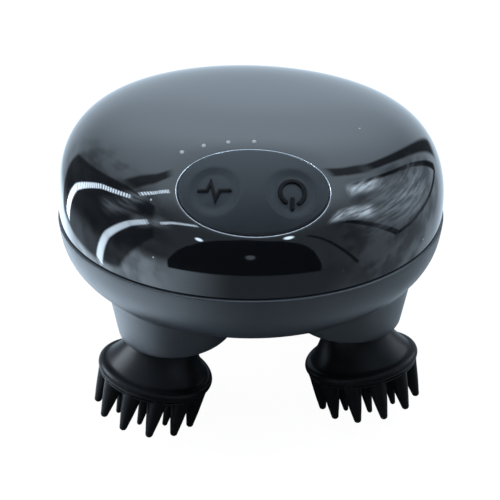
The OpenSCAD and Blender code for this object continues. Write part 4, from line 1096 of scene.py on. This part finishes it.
# The head's body, turned: neck, flare, rolled rim and the face that carries the teeth
head_profile = [(7.0, 1.5), (7.55, 1.62), (neck_r, 2.2), (neck_r, 5.0), (neck_r, 8.2)]
for t in [i / 19 for i in range(19)]:
    head_profile.append((neck_r + (flare_r - neck_r) * t ** 1.9,
                         9.0 + 10.17 * t - 0.1 * sin(pi * t)))
head_profile += arc((13.2, 20.45), rim_r, -100, 75, 14)
head_profile += [(13.72, 21.73), (13.92, 21.8), (14.0, 21.95), (13.92, 22.12), (13.7, 22.22),
                 (13.4, face_z), (10.0, face_z), (6.0, face_z)]
head = add_piece("head_pattern", *tube([ring(r, z, 112) for r, z in head_profile]),
                 Matrix.Identity(4), sharp=55)
head_finish = finish("head_silicone", (0.0028, 0.003, 0.0036), (0.0042, 0.0045, 0.0052),
                     0.34, 0.06, 6000.0, 0.01, gloss=0.04)


def add_teeth(**values):
    """A row of teeth on the head, from the tree's inputs by name."""
    modifier = head.modifiers.new("teeth", "NODES")
    modifier.node_group = tooth_tree
    for item in tree_face.items_tree:
        if item.in_out == "INPUT" and item.name in values:
            modifier[item.identifier] = values[item.name]


for count, radius, length, root, outward, first in (
        (12, 11.6 * mm, outer_length + root_in, outer_root, 0.8, pi),
        (8, 8.4 * mm, inner_length + root_in, inner_root, 0.0, 0.0),
        (1, 0.0, inner_length + root_in, inner_root, 0.0, 0.0)):
    add_teeth(**{"Count": count, "Ring Radius": radius, "Length": length * mm,
                 "Root Radius": root, "Lean": asin(outward / (length - 0.75)),
                 "First Turn": first, "Material": head_finish})
bpy.context.view_layer.update()
evaluated = head.evaluated_get(bpy.context.evaluated_depsgraph_get())
head_mesh = bpy.data.meshes.new_from_object(evaluated)
bpy.data.objects.remove(head)
smooth(head_mesh, 50)
shone_on = bpy.data.collections.new("heads_under_side_lamps")
for leg, (x, y) in legs.items():
    place = (Matrix.Translation((x * mm, y * mm, (seam - pivot_drop) * mm))
             @ Matrix.Rotation(atan2(y, x), 4, "Z")
             @ Matrix.Rotation(radians(head_turn), 4, "Z")
             @ Matrix.Rotation(radians(-head_tilt), 4, "Y")
             @ Matrix.Rotation(pi, 4, "X"))
    mesh = head_mesh.copy()
    mesh.name = leg + "_silicone_head"
    mesh.transform(place)
    one = show(leg + "_silicone_head", mesh)
    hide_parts(leg + "_head")
    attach(one, leg + "_drive")
    shone_on.objects.link(one)

# Two small lamps beside the legs put the sheen on the heads' necks, and light nothing else
for name, place, power in (("left_neck_lamp", (-0.27, 0.03, 0.17), 3.4),
                           ("right_neck_lamp", (0.27, 0.1, 0.15), 0.8)):
    neck_lamp = add_lamp(name, place, 0.17, power, 0.02, (0.8, 0.9, 1.0))
    neck_lamp.visible_camera = False
    neck_lamp.light_linking.receiver_collection = shone_on

# ---------------------------------------------------------------- works inside
# The frame's own solids for what the shells hide, each in its maker's material. A row
# gives a finish: its darker and lighter tone, its roughness and how far that strays, its
# grain and relief, how much it is metal, and the nodes that have it.


def on_each_leg(part):
    return tuple(leg + part for leg in legs)


for name, *recipe, members in (
        ("gasket_rubber", (0.045, 0.048, 0.052), (0.06, 0.064, 0.07), 0.5, 0.06, 7000.0, 0.012, 0.0,
         ("seam_gasket", "shaft_seals")),
        ("green_board", (0.012, 0.075, 0.035), (0.018, 0.1, 0.048), 0.34, 0.06, 3000.0, 0.008, 0.0,
         ("control_board", "charge_board")),
        ("chip_black", (0.012, 0.012, 0.013), (0.02, 0.02, 0.022), 0.55, 0.08, 9000.0, 0.01, 0.0,
         ("controller_chip", "motor_end_cap")),
        ("light_chip", (0.75, 0.72, 0.55), (0.85, 0.83, 0.7), 0.35, 0.05, 6000.0, 0.006, 0.0,
         ("indicator_lights",)),
        ("plated_steel", (0.52, 0.53, 0.55), (0.64, 0.65, 0.67), 0.26, 0.08, 4000.0, 0.006, 1.0,
         ("tact_switches", "charge_socket", "motor_shaft", "idler_axle", "sun_axle",
          "board_screws", "chassis_screws", "bracket_screws", "motor_screws")
         + on_each_leg("_spindle")),
        ("black_steel", (0.1, 0.1, 0.11), (0.16, 0.16, 0.17), 0.36, 0.08, 4000.0, 0.008, 1.0,
         ("cover_screws",) + on_each_leg("_clip")),
        ("chassis_nylon", (0.05, 0.053, 0.058), (0.065, 0.068, 0.074), 0.5, 0.06, 6000.0, 0.012,
         0.0, ("chassis_plate", "motor_bracket")),
        ("cell_pouch", (0.5, 0.52, 0.55), (0.6, 0.62, 0.65), 0.3, 0.07, 2500.0, 0.02, 0.9,
         ("battery_cell",)),
        ("pad_foam", (0.06, 0.06, 0.065), (0.13, 0.13, 0.14), 0.9, 0.06, 2500.0, 0.12, 0.0,
         ("battery_pad",)),
        ("motor_steel", (0.46, 0.47, 0.49), (0.56, 0.57, 0.59), 0.3, 0.07, 3500.0, 0.006, 1.0,
         ("motor_can",)),
        ("copper_wire", (0.55, 0.24, 0.1), (0.72, 0.36, 0.17), 0.32, 0.08, 2500.0, 0.05, 0.9,
         ("motor_armature",)),
        ("brass", (0.66, 0.46, 0.18), (0.78, 0.58, 0.27), 0.28, 0.07, 4000.0, 0.006, 1.0,
         ("motor_terminals", "motor_pinion")),
        ("sintered_bronze", (0.45, 0.27, 0.12), (0.58, 0.38, 0.18), 0.48, 0.1, 5000.0, 0.02, 1.0,
         ("lower_bushes", "upper_bushes")),
        ("acetal", (0.72, 0.71, 0.66), (0.8, 0.79, 0.75), 0.38, 0.06, 4000.0, 0.008, 0.0,
         ("idler_gear", "sun_gear", "sun_wheel") + on_each_leg("_gear")),
        ("core_nylon", (0.55, 0.56, 0.57), (0.64, 0.65, 0.66), 0.45, 0.06, 5000.0, 0.01, 0.0,
         on_each_leg("_core"))):
    material = finish(name, *recipe)
    for member in members:
        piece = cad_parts[member]
        piece.data.materials.clear()
        piece.data.materials.append(material)

# ---------------------------------------------------------------- final update of the scene
bpy.context.view_layer.update()
